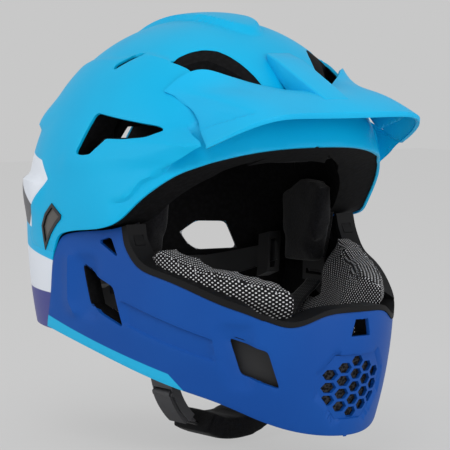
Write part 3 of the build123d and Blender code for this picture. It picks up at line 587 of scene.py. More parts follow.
def paintedShell(name, color, cloud, roughness, coat, areas=()):
    # in-moulded polycarbonate: one even colour with a soft sheen and the faintest orange peel
    material, tree, shader = newMaterial(
        name, color, roughness, Coat_Weight=coat, Coat_Roughness=0.3, Specular_IOR_Level=0.15)
    place, _ = grainBump(tree, shader, 5.0, 0.035, 0.3, 2.0)
    drift = addNode(tree, "TexNoise", None, {"Vector": place, "Scale": 14.0, "Detail": 2.0})
    paint = addNode(tree, "ValToRGB", None, {"Fac": drift}, stops=[(0.35, cloud), (0.65, color)])
    for code, lines in areas:
        mask = 1.0
        for start, end in lines:
            edge = leftOf(tree, place, start, end)
            mask = addNode(tree, "Math", {"operation": "MULTIPLY"}, {0: mask, 1: edge})
        paint = addNode(tree, "Mix", {"data_type": "RGBA"}, {0: mask, 6: paint, 7: srgb(code)}, 2)
    fine = addNode(tree, "TexNoise", None, {"Vector": place, "Scale": 700.0, "Detail": 3.0})
    spread = addNode(tree, "MapRange", None, {
        "Value": fine, "To Min": roughness - 0.04, "To Max": roughness + 0.05,
    })
    feed(tree, shader, {"Base Color": paint, "Roughness": spread})
    return material


def shellMaterials():
    return {
        "cyan": paintedShell("PolycarbonateCyan", "#00a9d8", "#00a4d4", 0.44, 0.03),
        "visorCyan": paintedShell("NylonVisorCyan", "#10abdc", "#0ca6d8", 0.46, 0.03),
        "white": paintedShell("PolycarbonateWhite", "#d9dee6", "#d4dae3", 0.42, 0.03, paintAreas["white"]),
        "blue": paintedShell("PolycarbonateBlue", "#0e4a98", "#0c4592", 0.5, 0.0, paintAreas["blue"]),
    }


def meshHoles(tree, pitch):
    # round spots on a staggered grid: the product of one cosine along the knit and one across it
    uv = addNode(tree, "UVMap", {"uv_map": "knit"})
    turns = addNode(tree, "VectorMath", {"operation": "SCALE"}, {0: uv, "Scale": 2000 * math.pi / pitch})
    parts = addNode(tree, "SeparateXYZ", None, {0: turns}).node.outputs
    waves = [addNode(tree, "Math", {"operation": "COSINE"}, {0: parts[k]}) for k in range(2)]
    product = addNode(tree, "Math", {"operation": "MULTIPLY"}, dict(enumerate(waves)))
    return addNode(tree, "MapRange", None, {"Value": product, "From Min": -1.0, "From Max": 1.0})


def softMaterials():
    made = {}
    # expanded polystyrene: matt black beads about 3 mm across, pressed flat against each other
    made["foam"], tree, shader = newMaterial("EpsFoamBlack", "#080809", 0.8, Specular_IOR_Level=0.12)
    _, cells = grainBump(tree, shader, 3.0, 0.45, 0.25, kind="TexVoronoi")
    shade = addNode(tree, "ValToRGB", None, {"Fac": cells}, stops=[(0.1, "#0e0e10"), (0.7, "#050506")])
    feed(tree, shader, {"Base Color": shade})
    # brushed nylon loop over open-cell foam: soft nap that catches light at the edges
    made["plush"], tree, shader = newMaterial(
        "BrushedNylonPlush", "#0e0e10", 0.95, Sheen_Weight=0.12, Sheen_Roughness=0.5, Specular_IOR_Level=0.1)
    _, nap = grainBump(tree, shader, 1.1, 0.6, 0.4, 4.0)
    shade = addNode(tree, "ValToRGB", None, {"Fac": nap}, stops=[(0.35, "#08080a"), (0.7, "#17171a")])
    feed(tree, shader, {"Base Color": shade})
    # spacer mesh: pale foam shows through small round holes, 2.5 mm apart along each row, in black knit
    made["knit"], tree, shader = newMaterial(
        "SpacerMeshKnit", "#101012", 0.85, Sheen_Weight=0.05, Specular_IOR_Level=0.15)
    holes = meshHoles(tree, 2.5)
    shade = addNode(tree, "ValToRGB", None, {"Fac": holes}, stops=[(0.70, "#0c0c0e"), (0.82, "#c8c8ca")])
    bump = addNode(tree, "Bump", {"invert": True}, {"Height": holes, "Strength": 0.7, "Distance": 0.5 * mm})
    feed(tree, shader, {"Base Color": shade, "Normal": bump})
    # polyester webbing: ribs 1.4 mm apart across the strap with a fine thread along it
    made["webbing"], tree, shader = newMaterial(
        "PolyesterWebbing", "#131316", 0.75, Sheen_Weight=0.25, Specular_IOR_Level=0.3)
    uv = addNode(tree, "UVMap", {"uv_map": "strap"})
    waves = []
    for way, pitch in (("Y", 1.4), ("X", 0.9)):
        waves.append(addNode(tree, "TexWave", {"wave_type": "BANDS", "bands_direction": way}, {
            "Vector": uv, "Scale": 1000 / (pitch * 6.28), "Distortion": 0.0,
        }, "Fac"))
    weave = addNode(tree, "Math", {"operation": "MULTIPLY"}, dict(enumerate(waves)))
    shade = addNode(tree, "ValToRGB", None, {"Fac": weave}, stops=[(0.1, "#0b0b0d"), (0.8, "#232327")])
    bump = addNode(tree, "Bump", None, {"Height": weave, "Strength": 0.6, "Distance": 0.3 * mm})
    feed(tree, shader, {"Base Color": shade, "Normal": bump})
    return made


def hardMaterials():
    made = {}
    # nylon moulded in a spark-eroded tool: even, low sheen with a fine grain
    for name, color, roughness in (
        ("NylonBlack", "#0e0e10", 0.5), ("NylonGrey", "#3a3a3d", 0.5), ("NylonButton", "#4a4743", 0.38),
    ):
        made[name], tree, shader = newMaterial(name, color, roughness, IOR=1.5)
        grainBump(tree, shader, 0.6, 0.12, 0.1)
    # thermoplastic elastomer: soft, darker sheen
    made["rubber"], tree, shader = newMaterial("ElastomerBlack", "#0a0a0c", 0.65, Specular_IOR_Level=0.2)
    grainBump(tree, shader, 0.9, 0.15, 0.1)
    # open-cell filter foam: a dark web of pores about 1.6 mm wide, with a highlight painted lighter grey on
    # the rims of some, where they would catch the light
    made["filter"], tree, shader = newMaterial("FilterFoamBlack", "#141415", 0.8, Specular_IOR_Level=0.2)
    _, pores = grainBump(tree, shader, 1.6, 0.8, 0.5, kind="TexVoronoi")
    # painted highlight: the colour runs from near black in each pore's middle to light grey on its rim
    shade = addNode(tree, "ValToRGB", None, {"Fac": pores}, stops=[(0.35, "#08080a"), (0.75, "#3a3a3c")])
    feed(tree, shader, {"Base Color": shade})
    # rolled stainless spring strip: fine brushing along it
    made["steel"], tree, shader = newMaterial("StainlessStrip", "#b9bcc0", 0.34, Metallic=1.0)
    place = addNode(tree, "TexCoord", out="Object")
    long = addNode(tree, "Mapping", None, {"Vector": place, "Scale": (1.0, 0.05, 1.0)})
    scratch = addNode(tree, "TexNoise", None, {"Vector": long, "Scale": 3000.0})
    bump = addNode(tree, "Bump", None, {"Height": scratch, "Strength": 0.1, "Distance": 0.05 * mm})
    feed(tree, shader, {"Normal": bump})
    return made


# camera, lights and floor
cameraLook = {
    "azimuth": -38.17, "elevation": 4.99, "roll": 0.65, "target": (0, -15.19, 26.5), "distance": 1552.88,
    "focal": 2412.24, "picture": 450.0, "sensor": 36.0, "nearest": 0.05, "furthest": 20.0,
}
# place and diameter in metres, and power in watts
lightLook = {
    "key": ((-1.2, -1.2, 1.8), 1.1, 13.0), "fill": ((1.4, -1.5, 0.5), 1.6, 6.0),
    "top": ((0.1, 0.4, 2.1), 1.6, 2.5), "back": ((-1.5, 0.6, 0.6), 1.4, 6.5),
    "front": ((-0.4, -1.9, 0.15), 1.2, 15.0),
}
stageLook = {
    "backdrop": "#c8c8c8", "glow": (0.66, 0.66, 0.66, 1), "floor": "#dadada", "half": 2500.0, "gap": 2.0,
    "even": 0.8,
}


def placeCamera():
    # camera on a line from the target, turned by azimuth about up and by elevation above the floor
    look = cameraLook
    a, e = math.radians(look["azimuth"]), math.radians(look["elevation"])
    away = Vector((math.sin(a) * math.cos(e), -math.cos(a) * math.cos(e), math.sin(e)))
    data = bpy.data.cameras.new("Camera")
    camera = bpy.data.objects.new("Camera", data)
    bpy.context.scene.collection.objects.link(camera)
    place = Matrix.Translation(Vector(look["target"]) * mm + away * look["distance"] * mm)
    turn = (-away).to_track_quat("-Z", "Y").to_matrix().to_4x4()
    camera.matrix_world = place @ turn @ Matrix.Rotation(math.radians(look["roll"]), 4, "Z")
    data.sensor_width = look["sensor"]
    data.lens = look["sensor"] * look["focal"] / look["picture"]
    data.clip_start, data.clip_end = look["nearest"], look["furthest"]
    bpy.context.scene.camera = camera


def areaLight(name, place, size, power):
    data = bpy.data.lights.new(name, "AREA")
    data.shape = "DISK"
    data.size = size
    data.energy = power
    light = bpy.data.objects.new(name, data)
    light.location = place
    light.rotation_euler = (-Vector(place)).to_track_quat("-Z", "Y").to_euler()
    bpy.context.scene.collection.objects.link(light)


def makeStage():
    scene = bpy.context.scene
    scene.view_settings.view_transform = "Standard"
    for name, settings in lightLook.items():
        areaLight(name, *settings)
    scene.world = bpy.data.worlds.new("World")
    scene.world.use_nodes = True
    tree = scene.world.node_tree
    # the backdrop shows to the camera, in gloss and through gaps, and lights the object more softly
    rays = addNode(tree, "LightPath").node.outputs
    seen = rays["Is Camera Ray"]
    for name in ("Is Glossy Ray", "Is Transmission Ray"):
        seen = addNode(tree, "Math", {"operation": "MAXIMUM"}, {0: seen, 1: rays[name]})
    backdrop = srgb(stageLook["backdrop"])
    sky = addNode(tree, "Mix", {"data_type": "RGBA"}, {0: seen, 6: stageLook["glow"], 7: backdrop}, 2)
    feed(tree, tree.nodes["Background"], {"Color": sky})
    half, height = stageLook["half"], cadBox[0][2] / mm - stageLook["gap"]
    corners = [(-half, -half, height), (half, -half, height), (half, half, height), (-half, half, height)]
    floor = newMesh("floorPlane", corners, [[0, 1, 2, 3]], False)
    # to the camera most of the floor's colour is even, and the rest takes the light and the object's shadow
    material, tree, shader = newMaterial("PaleFloor", stageLook["floor"], 0.9, Specular_IOR_Level=0.0)
    seen = addNode(tree, "LightPath", out="Is Camera Ray")
    even = addNode(tree, "Math", {"operation": "MULTIPLY"}, {0: seen, 1: stageLook["even"]})
    plain = addNode(tree, "Emission", None, {"Color": backdrop})
    mixed = addNode(tree, "MixShader", None, {0: even, 1: shader.outputs["BSDF"], 2: plain})
    feed(tree, tree.nodes["Material Output"], {"Surface": mixed})
    setMaterial(floor, material)


def bothSides(*names):
    return [name + side for name in names for side in ("_left", "_right")]


placeCamera()
makeStage()
hard, soft, shells = hardMaterials(), softMaterials(), shellMaterials()

nodeFinish = [
    (shells["cyan"], ["outer_shell"]),
    (shells["white"], ["rear_shell"]),
    (shells["visorCyan"], ["visor"]),
    (shells["blue"], ["chin_shell", "chin_grille"]),
    (soft["foam"], ["impact_liner", "chin_liner"]),
    (soft["plush"], ["brow_pad", "crown_pad", "chin_pad"] + bothSides("cheek_pad", "side_pad")),
    (soft["webbing"], bothSides("strap_front", "strap_rear", "chin_strap")),
    (hard["filter"], ["grille_filter"]),
    (hard["rubber"], ["port_trim", "visor_sockets", "dial", "strap_keeper"] + bothSides("side_seal")),
    (hard["steel"], bothSides("latch_tongue", "latch_spring")),
    (hard["NylonButton"], bothSides("latch_button")),
    (hard["NylonGrey"], ["dial_pinion", "buckle_body", "buckle_lever", "ratchet_tongue"]),
    (hard["NylonBlack"], ["cradle", "cradle_housing", "strap_anchors"]),
    (hard["NylonBlack"], bothSides("vent_screen", "latch_bezel", "cradle_guide", "strap_divider")),
]
for finish, nodes in nodeFinish:
    for node in nodes:
        setMaterial(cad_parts[node], finish)
report("stage and materials")


# the shell's two panels: sizes and places in millimetres, turns in degrees
shellLook = {
    "wall": 1.8, "edge": 0.55, "spacing": 2.8, "step": 2.0, "center": (0, 0, 40.0), "foot": -62.0,
    "sideCorner": 3.5, "topCorner": 1.2, "slitCorner": 1.5, "commaCorner": 1.5,
    "rearVent": (40, 20), "rearTurn": 38, "rearDip": 5, "rearReach": (-30.0, 60.0), "rearNear": 38,
    "ventsAbove": 60, "sideBelow": 105,
    "ledge": 1.9, "ledgeRun": 1.5, "ledgeFoot": (0.7, -1.3), "swell": 0.7, "swellRun": 9,
    "ridge": 1.0, "ridgeHalf": 10, "channel": 1.8, "channelRun": 2.2,
    "rib": 2.0, "ribHalf": 20, "ribFront": 4, "ribLength": 42, "ribRun": 3.5, "lip": 3.0, "shelf": 4.0,
    "flareRun": 22.0, "flareStart": 0.1, "flareRise": 0.7,
}
# where each form starts to show, and over how many millimetres
shellFades = {
    "ledgeAhead": (27, 18), "ledgeOut": (66, 10), "ridgeBehind": (95, -12), "top": (96, 14),
    "lipInside": (88, -14), "lipFoot": (84.5, 2.5), "lipHead": (89, 20), "lipBehind": (15, 25),
    "shelfHead": (53, 4), "shelfFoot": (22, 30), "shelfBehind": (40, 22),
}
domeScale = np.array([110.0, 130.0])
ledgeLine = np.array([
    (74.5, 96), (73.5, 90), (71.6, 84), (71.2, 80.2), (70.6, 76.9), (68.6, 73.9), (67.4, 70.9), (66, 67.9),
    (59, 63.4), (52.2, 59.8), (47, 53), (42, 49.2), (36, 47.4), (29, 48.2),
])
# where the shell runs out to meet the visor's side edge: height, place across of that edge, and how far the
# skin is drawn forward there
flareTable = np.array([
    (64.0, 88.0, 0.0), (67.9, 87.0, 0.8), (70.9, 85.5, 6.0), (73.9, 84.0, 11.0), (76.9, 82.0, 14.5),
    (80.2, 80.5, 20.0), (82.9, 79.0, 26.0), (85.5, 76.8, 19.0), (89.0, 74.9, 8.0), (94.0, 72.6, 0.0),
])
ridgeLine = np.array([
    (91, 97), (80.2, 91.3), (74.2, 87), (60.1, 80.6), (41.3, 75.6), (9.5, 70.3), (-18, 68.5),
])
channelLine = np.array([
    (40, -112), (48, -96), (57, -70), (65.6, -32.5), (67.8, -13), (66.6, -0.6), (63.8, 8.3), (63, 23.1),
    (61.5, 36.6), (57.5, 53.9), (50, 64),
])


def rearVentPlane():
    # place and directions of the rear side vent: across, up and outwards
    d = domeForm
    origin = np.array([d["halfWidth"] * 0.665, d["frontReach"] * 0.79, d["widest"] - d["rise"] * 0.175])
    turn, dip = math.radians(shellLook["rearTurn"]), math.radians(shellLook["rearDip"])
    out = np.array([math.sin(turn) * math.cos(dip), math.cos(turn) * math.cos(dip), -math.sin(dip)])
    along = np.array([-math.cos(turn), math.sin(turn), 0])
    return origin, along, np.cross(out, along), out


def shellHoles():
    look = shellLook
    return {
        "side": roundedOutline(domeSide(sideVentShares), look["sideCorner"]),
        "top": roundedOutline(domePlan(topVentShares), look["topCorner"]),
        "slit": roundedOutline(domePlan(crownSlitShares), look["slitCorner"]),
        "exhaust": domeBack(rearExhaustShares),
        "rear": roundedOutline(np.array(rearVentShares) * look["rearVent"], look["sideCorner"]),
        "comma": roundedOutline(domeSide(commaShares), look["commaCorner"]),
    }


def shellCurves(holes, fineCount=4000, lineCount=800):
    look, side, plan = shellLook, domeFromSide, domeFromPlan
    loops = {name: dense(looped(hole)) for name, hole in holes.items()}
    rear = planeOnForm(loops["rear"], rearVentPlane(), look["rearReach"], domeRadii, domeForm, 0)
    curves = [side(cubicThrough(domeSide(rimShares), fineCount))]
    curves += [side(dense(domeSide(shares))) for shares in (neckShares, splitShares)]
    curves += [side(loops["side"]), plan(loops["top"]), plan(loops["slit"])]
    curves += [domeFromBack(loops["exhaust"]), side(loops["comma"])]
    for line in (ledgeLine, ledgeLine + look["ledgeFoot"], ridgeLine):
        curves.append(side(cubicThrough(line, lineCount)))
    for inwards in (0, look["channelRun"]):
        curves.append(plan(cubicThrough(channelLine - [inwards, 0], lineCount)))
    for outwards in (look["flareStart"], look["flareStart"] + look["flareRise"]):
        curves.append(side(flareEdge(outwards)))
    return curves + [side(rear)]


def shellRelief(points):
    # height over the plain form: a ledge over the brow, a ridge above it, and a sunk channel beside a raised
    # rib on top
    look, fades = shellLook, shellFades
    side, up, back = sideView(points), points[:, 2], points[:, 1]
    across, forward = np.abs(points[:, 0]), -back
    below = sideOfCurve(side, ledgeLine)
    ahead = fade(forward, fades["ledgeAhead"]) * (up < look["sideBelow"])
    height = -look["ledge"] * smooth(below / look["ledgeRun"]) * ahead * fade(across, fades["ledgeOut"])
    height += look["swell"] * (1 - smooth(-below / look["swellRun"])) * (below < 0) * ahead
    ridge = np.maximum(1 - np.abs(sideOfCurve(side, ridgeLine)) / look["ridgeHalf"], 0)
    height += look["ridge"] * ridge * fade(forward, fades["ridgeBehind"]) * (up < look["sideBelow"])
    inner = sideOfCurve(columns(across, forward), channelLine)
    ribEnd = np.maximum(forward - look["ribFront"], 0) / look["ribLength"]
    rib = smooth((1 - np.hypot(across / look["ribHalf"], ribEnd)) * look["ribHalf"] / look["ribRun"])
    channel = look["channel"] * smooth(inner / look["channelRun"]) * (1 - rib)
    height += fade(up, fades["top"]) * (look["rib"] * rib - channel)
    # behind, a lip overhangs a sunk band, and the lower panel starts with a shelf
    lip = fade(across, fades["lipInside"]) * fade(up, fades["lipFoot"]) * (1 - fade(up, fades["lipHead"]))
    shelf = (1 - fade(up, fades["shelfHead"])) * fade(up, fades["shelfFoot"])
    height += look["lip"] * lip * fade(back, fades["lipBehind"])
    return height + look["shelf"] * shelf * fade(back, fades["shelfBehind"])


def flareEdge(shift, count=300):
    # the visor's edge laid on the plain form, moved outwards
    height = np.linspace(flareTable[0, 0], flareTable[-1, 0], count)
    across = np.interp(height, flareTable[:, 0], flareTable[:, 1]) + shift
    halfWidth, front, _ = domeRadii(height)
    power = domeForm["planFront"]
    return columns(front * np.clip(1 - (across / halfWidth) ** power, 0, 1) ** (1 / power), height)


def shellFlare(points):
    # how far forward the skin is drawn: the table's amount at the visor's edge, falling evenly to nothing
    # further out
    look = shellLook
    height, across = points[:, 2], np.abs(points[:, 0])
    beyond = across - np.interp(height, flareTable[:, 0], flareTable[:, 1])
    amount = np.interp(height, flareTable[:, 0], flareTable[:, 2], 0, 0)
    outward = np.clip(1 - beyond / look["flareRun"], 0, 1)
    return amount * outward * fade(beyond, (look["flareStart"], look["flareRise"])) * (points[:, 1] < 0)


def shellPanels():
    look = shellLook
    holes, vent = shellHoles(), rearVentPlane()
    span = ((0, math.pi), (latOf(np.array(look["foot"])), math.pi / 2))
    points, faces, center = halfSheet(shellCurves(holes), span, domeScale, look, domePoint)
    side = sideView(center)
    hem = np.vstack([cubicThrough(domeSide(rimShares)), domeSide(neckShares)])
    drop = insideAny(side, [closedAt(hem, -far), holes["side"], holes["comma"]])
    drop |= insideAny(planView(center), [holes["top"], holes["slit"]]) & (center[:, 2] > look["ventsAbove"])
    drop |= insidePolygon(frontView(center), holes["exhaust"]) & (center[:, 1] > 0)
    drop |= insidePolygon(onPlane(center, vent), holes["rear"]) & nearPlane(center, vent, look["rearNear"])
    white = insidePolygon(side, closedAt(domeSide(splitShares), -far))
    forward = shellFlare(points)
    points = relieved(points, faces, shellRelief(points))
    points[:, 1] -= forward
    made = []
    for name, chosen, node, finish in (
        ("shellCyanPanel", ~white, "outer_shell", "cyan"), ("shellWhitePanel", white, "rear_shell", "white"),
    ):
        piece = skin(name, points, faces[~drop & chosen], look)
        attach(piece, "shell")
        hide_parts(node)
        made.append(setMaterial(piece, shells[finish]))
    report("shell panels, %d and %d faces" % tuple(len(piece.data.polygons) for piece in made))


shellPanels()


# the chin guard's shell: its span is the turn about the ring, in radians, and the height
guardLook = {
    "wall": 2.6, "edge": 0.6, "spacing": 2.7, "step": 1.9, "corner": 2.2, "center": (0, 0, -30.0),
    "span": ((0, 1.68), (-96.0, 38.0)), "seam": (0.8, -0.8), "groove": (0.3, 1.0),
    "cornerVent": (32, 30), "cornerTurn": 52, "cornerReach": (-40.0, 60.0), "cornerNear": 28, "cornerIn": 2,
    "sideBeyond": 55, "bridgeBelow": -12, "bridgeAhead": 93, "frontAhead": 75, "ringBefore": -100,
    "frame": 3.4, "frameRun": 9, "crest": 2.2, "crestHalf": 8, "crestBehind": 20,
    "band": 2.0, "bandRun": 0.9, "ring": 1.5,
}
guardFades = {
    "frameFoot": (-30, 5), "frameHead": (13, -5), "bandBehind": (31, 3), "bandAhead": (93, -3),
    "cornerFoot": (-66, 6), "cornerHead": (-22, -6), "cornerInside": (4, -10), "ring": (1.6, 0.9),
}
guardScale = np.array([130.0, 1.0])
bandTop = np.array([(30.8, -14.5), (53, -21.9), (73, -28.3), (92.2, -34.2)])
bandFoot = np.array([(35.9, -30.9), (58.7, -38.8), (78, -44.5), (93.8, -48.8)])
frameLine = np.array([(-12.7, 12), (-13.3, -18.5), (-8.3, -26.9)])
cornerLine = np.array([(93.4, -24.9), (92.2, -34.2), (93.8, -48.8), (96.4, -63.5)])


def cornerPlane():
    # place and directions of the front corner vent on the wearer's left: towards the front, up and outwards
    c, turn = chinForm, math.radians(guardLook["cornerTurn"])
    origin = np.array([c["halfWidth"] * 0.521, -c["noseReach"] * 0.751, c["belly"] - c["depth"] * 0.534])
    along = np.array([-math.cos(turn), -math.sin(turn), 0])
    return origin, along, np.array([0, 0, 1.0]), np.array([math.sin(turn), -math.cos(turn), 0])


def guardHoles():
    corner, grille = guardLook["corner"], chinFront(grilleShares)
    return {
        "triangle": roundedOutline(chinSide(triangleShares), corner),
        "side": roundedOutline(chinSide(chinVentShares), corner),
        "corner": roundedOutline(np.array(cornerShares) * guardLook["cornerVent"], corner),
        "nose": np.array(noseVentPoints),
        "grille": np.vstack([grille, grille[[-1, 0]] * [0, 1]]),
    }


def guardRelief(points, holes):
    # height over the plain form: a framed side vent, a sunk band between two lines, a framed corner vent and
    # a groove round the grille
    look, fades = guardLook, guardFades
    side = sideView(points)
    forward, up = side.T
    nearSide = points[:, 0] > look["sideBeyond"]
    vent = holes["side"]
    toLine, toVent = [np.abs(sideOfCurve(side, line)) for line in (frameLine, looped(vent))]
    between = forward > np.interp(up, frameLine[::-1, 1], frameLine[::-1, 0])
    ends = fade(up, fades["frameFoot"]) * fade(up, fades["frameHead"]) * nearSide
    sunk = between * toLine / np.maximum(toLine + toVent, tiny)
    height = -look["frame"] * sunk * ends * smooth((vent[:, 0].mean() - forward) / look["frameRun"])
    crest = np.maximum(1 - toLine / look["crestHalf"], 0) * (forward < look["crestBehind"])
    height += look["crest"] * crest * ends
    top, foot = sideOfCurve(side, bandTop), sideOfCurve(side, bandFoot)
    ends = fade(forward, fades["bandBehind"]) * fade(forward, fades["bandAhead"]) * nearSide
    height -= look["band"] * smooth(-top / look["bandRun"]) * smooth(foot / look["bandRun"]) * ends
    flat = onPlane(points, cornerPlane())
    toVent = np.abs(sideOfCurve(flat, looped(holes["corner"])))
    beyond = forward - np.interp(up, cornerLine[::-1, 1], cornerLine[::-1, 0])
    zone = (beyond > 0) & (flat[:, 0] < look["cornerIn"])
    zone = zone * fade(up, fades["cornerFoot"]) * fade(up, fades["cornerHead"])
    sunk = np.abs(beyond) / np.maximum(np.abs(beyond) + toVent, tiny)
    height -= look["frame"] * zone * sunk * fade(flat[:, 0], fades["cornerInside"])
    front = columns(np.abs(points[:, 0]), points[:, 2])
    ring = 1 - fade(np.abs(sideOfCurve(front, holes["grille"][:len(grilleShares)])), fades["ring"])
    return height - look["ring"] * ring * (points[:, 1] < look["ringBefore"])


def guardCurves(holes, rim, port, bridge, hem, bandCount=300):
    look, side, front = guardLook, chinFromSide, chinFromFront
    loops = {name: dense(looped(hole)) for name, hole in holes.items()}
    back = chinForm["setback"]
    corner = planeOnForm(loops["corner"], cornerPlane(), look["cornerReach"], chinRadii, chinForm, back)
    curves = [side(rim), side(port)]
    curves.append(front(bridge[(bridge[:, 0] >= 0) & (bridge[:, 1] < look["bridgeBelow"])]))
    curves += [side(curve) for curve in (hem, loops["triangle"], loops["side"], corner)]
    curves += [front(loops["nose"]), front(loops["grille"])]
    for line in (bandTop, bandFoot, bandTop - look["groove"], bandFoot + look["groove"]):
        curves.append(side(cubicThrough(line, bandCount)))
    return curves + [side(dense(frameLine)), side(dense(cornerLine))]


def guardPanel(fineCount=4000, lineCount=1500):
    look, holes, corner = guardLook, guardHoles(), cornerPlane()
    rim = cubicThrough(domeSide(rimShares), fineCount) + look["seam"]
    port, hem = [cubicThrough(chinSide(shares), lineCount) for shares in (portShares, hemShares)]
    bridge = chinFront(noseBridgeShares)
    bridge = cubicThrough(np.vstack([bridge, bridge[::-1] * [-1, 1]]), lineCount)
    curves = guardCurves(holes, rim, port, bridge, hem)
    points, faces, center = halfSheet(curves, look["span"], guardScale, look, chinPoint)
    side, front = sideView(center), frontView(center)
    rimArea = np.vstack([rim, [(rim[-1][0], -far), (-far, -far), (-far, far), (rim[0][0], far)]])
    areas = [rimArea, closedAt(hem, -far), closedAt(port, far), holes["triangle"], holes["side"]]
    drop = insideAny(side, areas)
    drop |= insidePolygon(front, closedAt(bridge, far)) & (side[:, 0] > look["bridgeAhead"])
    flat = onPlane(center, corner)
    drop |= insidePolygon(flat, holes["corner"]) & nearPlane(center, corner, look["cornerNear"])
    drop |= insideAny(front, [holes["nose"], holes["grille"]]) & (side[:, 0] > look["frontAhead"])
    points = relieved(points, faces, guardRelief(points, holes))
    piece = skin("guardPanel", points, faces[~drop], look)
    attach(piece, "chin_guard")
    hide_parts("chin_shell")
    setMaterial(piece, shells["blue"])
    report("guard panel, %d faces" % len(piece.data.polygons))


guardPanel()


# straps: webbing carried along smooth routes, and the loop that they make under the chin, each side of it
# from one turn to another in degrees with a number of points
strapLook = {"width": 15.0, "thick": 1.5, "round": 0.6, "step": 1.5, "lanes": 9, "sharp": 50}
strapLoop = {"ahead": 13.0, "below": 60.0, "radius": 47, "left": (0, 124, 9), "right": (180, 170, 2)}


def band(name, route, body, nodes):
    # a flat rounded profile carried along the route; it lies across the front-to-back direction
    look = strapLook
    route = cubicThrough(route, max(int(runAlong(route)[-1] / look["step"]), 4))
    ahead = np.gradient(route, axis=0)
    ahead /= np.linalg.norm(ahead, axis=1)[:, None]
    wide = np.array([0, 1.0, 0]) - ahead[:, 1:2] * ahead
    wide /= np.linalg.norm(wide, axis=1)[:, None]
    out = np.cross(ahead, wide)
    w, h, r = look["width"] / 2, look["thick"] / 2, look["round"]
    top = columns(np.linspace(-1, 1, look["lanes"]) * (w - r), h)
    right, left = [(w, h - r), (w, r - h)], [(-w, r - h), (-w, h - r)]
    profile = np.vstack([top, right, (top * [1, -1])[::-1], left])
    rings = route[:, None] + profile[None, :, :1] * wide[:, None] + profile[None, :, 1:] * out[:, None]
    n, m = len(route), len(profile)
    i, j = np.meshgrid(np.arange(n - 1), np.arange(m), indexing="ij")
    after = (j + 1) % m
    quads = columns(i * m + j, i * m + after, (i + 1) * m + after, (i + 1) * m + j).reshape(-1, 4)
    faces = quads.tolist() + [list(range(m))[::-1], list(range((n - 1) * m, n * m))]
    piece = newMesh(name, rings.reshape(-1, 3), faces)
    corners = collected(piece.data.loops, "vertex_index", 1, int)
    uv = columns(np.tile(profile[:, 0], n), np.repeat(runAlong(route), m))[corners]
    piece.data.uv_layers.new(name="strap").data.foreach_set("uv", (uv * mm).ravel())
    piece.data.set_sharp_from_angle(angle=math.radians(look["sharp"]))
    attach(piece, body)
    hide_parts(*nodes)
    setMaterial(piece, soft["webbing"])


def loopPoints(side):
    start, end, count = strapLoop[side]
    turn = np.radians(np.linspace(start, end, count))
    radius = strapLoop["radius"]
    return columns(radius * np.cos(turn), -strapLoop["ahead"], -strapLoop["below"] - radius * np.sin(turn))


def straps():
    front = np.array([(79, -23.4, 38), (79.2, -19.8, 22), (79.1, -16.5, 8), (79, -13.6, -4)])
    rear = np.array([(79, 11.7, 33), (79.2, 3.8, 20), (79.1, -4.6, 7), (79, -12.2, -4)])
    fall = np.array([(79, -13, -2), (78.2, -13, -12), (70, -13, -20), (61, -13, -28), (55, -13, -43)])
    flips = {"left": [1, 1, 1], "right": [-1, 1, 1]}
    for side, flip in flips.items():
        band("strapFront_" + side, front * flip, "shell", ["strap_front_" + side])
        band("strapRear_" + side, rear * flip, "shell", ["strap_rear_" + side])
    for side, flip in flips.items():
        route = np.vstack([fall * flip, loopPoints(side)])
        band("chinStrap_" + side, route, "shell", ["chin_strap_" + side])
    report("straps")


straps()


# padded pieces, blown up by cloth simulation
padLook = {
    "cheek": {"node": "cheek_pad_left", "body": "chin_guard", "voxel": 4.0, "cap": 4.0, "finish": "knit",
              "fill": 0.6, "edge": (-9.0, 8.0), "spread": 8.0, "rise": 4.0, "reach": 0.10, "reachFrom": 1.0},
    "side": {"node": "side_pad_left", "body": "shell", "voxel": 3.6, "cap": 3.0, "finish": "plush",
             "fill": 0.55},
    "brow": {"node": "brow_pad", "body": "shell", "voxel": 3.2, "cap": 2.5, "finish": "plush", "fill": 0.5},
    "crown": {"node": "crown_pad", "body": "shell", "voxel": 3.6, "cap": 2.5, "finish": "plush",
              "fill": 0.5},
    "chin": {"node": "chin_pad", "body": "shell", "voxel": 2.6, "cap": 1.2, "finish": "plush", "fill": 0.5,
             "widen": 1.5, "fold": 7.0, "foldRun": 2.0},
}
clothLook = {"pressure": 4.0, "frames": 20, "shrink": 0.9, "quality": 4}
# radius in metres at which the knit's turns about the guard are measured
knitLook = {"radius": 0.115, "aroundShare": 0.8}


def setCoordinates(mesh, points):
    mesh.vertices.foreach_set("co", points.ravel())
    mesh.update()


def startPad(look):
    # the CAD pad as a closed sheet of even faces, drawn in a little to leave room for the swelling
    name = "pad_" + look["node"]
    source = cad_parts[look["node"]].data.copy()
    source.name = name
    source.materials.clear()
    piece = bpy.data.objects.new(name, source)
    bpy.context.scene.collection.objects.link(piece)
    modifier(piece, "WELD", merge_threshold=0.01 * mm)
    applied(piece)
    modifier(piece, "REMESH", mode="VOXEL", voxel_size=look["voxel"] * mm)
    vertices = applied(piece).data.vertices
    inward = collected(vertices, "normal") * clothLook["shrink"] * mm
    setCoordinates(piece.data, collected(vertices, "co") - inward)
    return piece


def simulate(pieces):
    for piece in pieces:
        cloth = piece.modifiers.new("cloth", "CLOTH")
        cloth.settings.quality = clothLook["quality"]
        cloth.settings.use_pressure = True
        cloth.settings.uniform_pressure_force = clothLook["pressure"]
        cloth.settings.effector_weights.gravity = 0
        cloth.point_cache.frame_start = 1
        cloth.point_cache.frame_end = clothLook["frames"]
    scene = bpy.context.scene
    for number in range(1, clothLook["frames"] + 1):
        scene.frame_set(number)
    for piece in pieces:
        applied(piece)
    scene.frame_set(1)


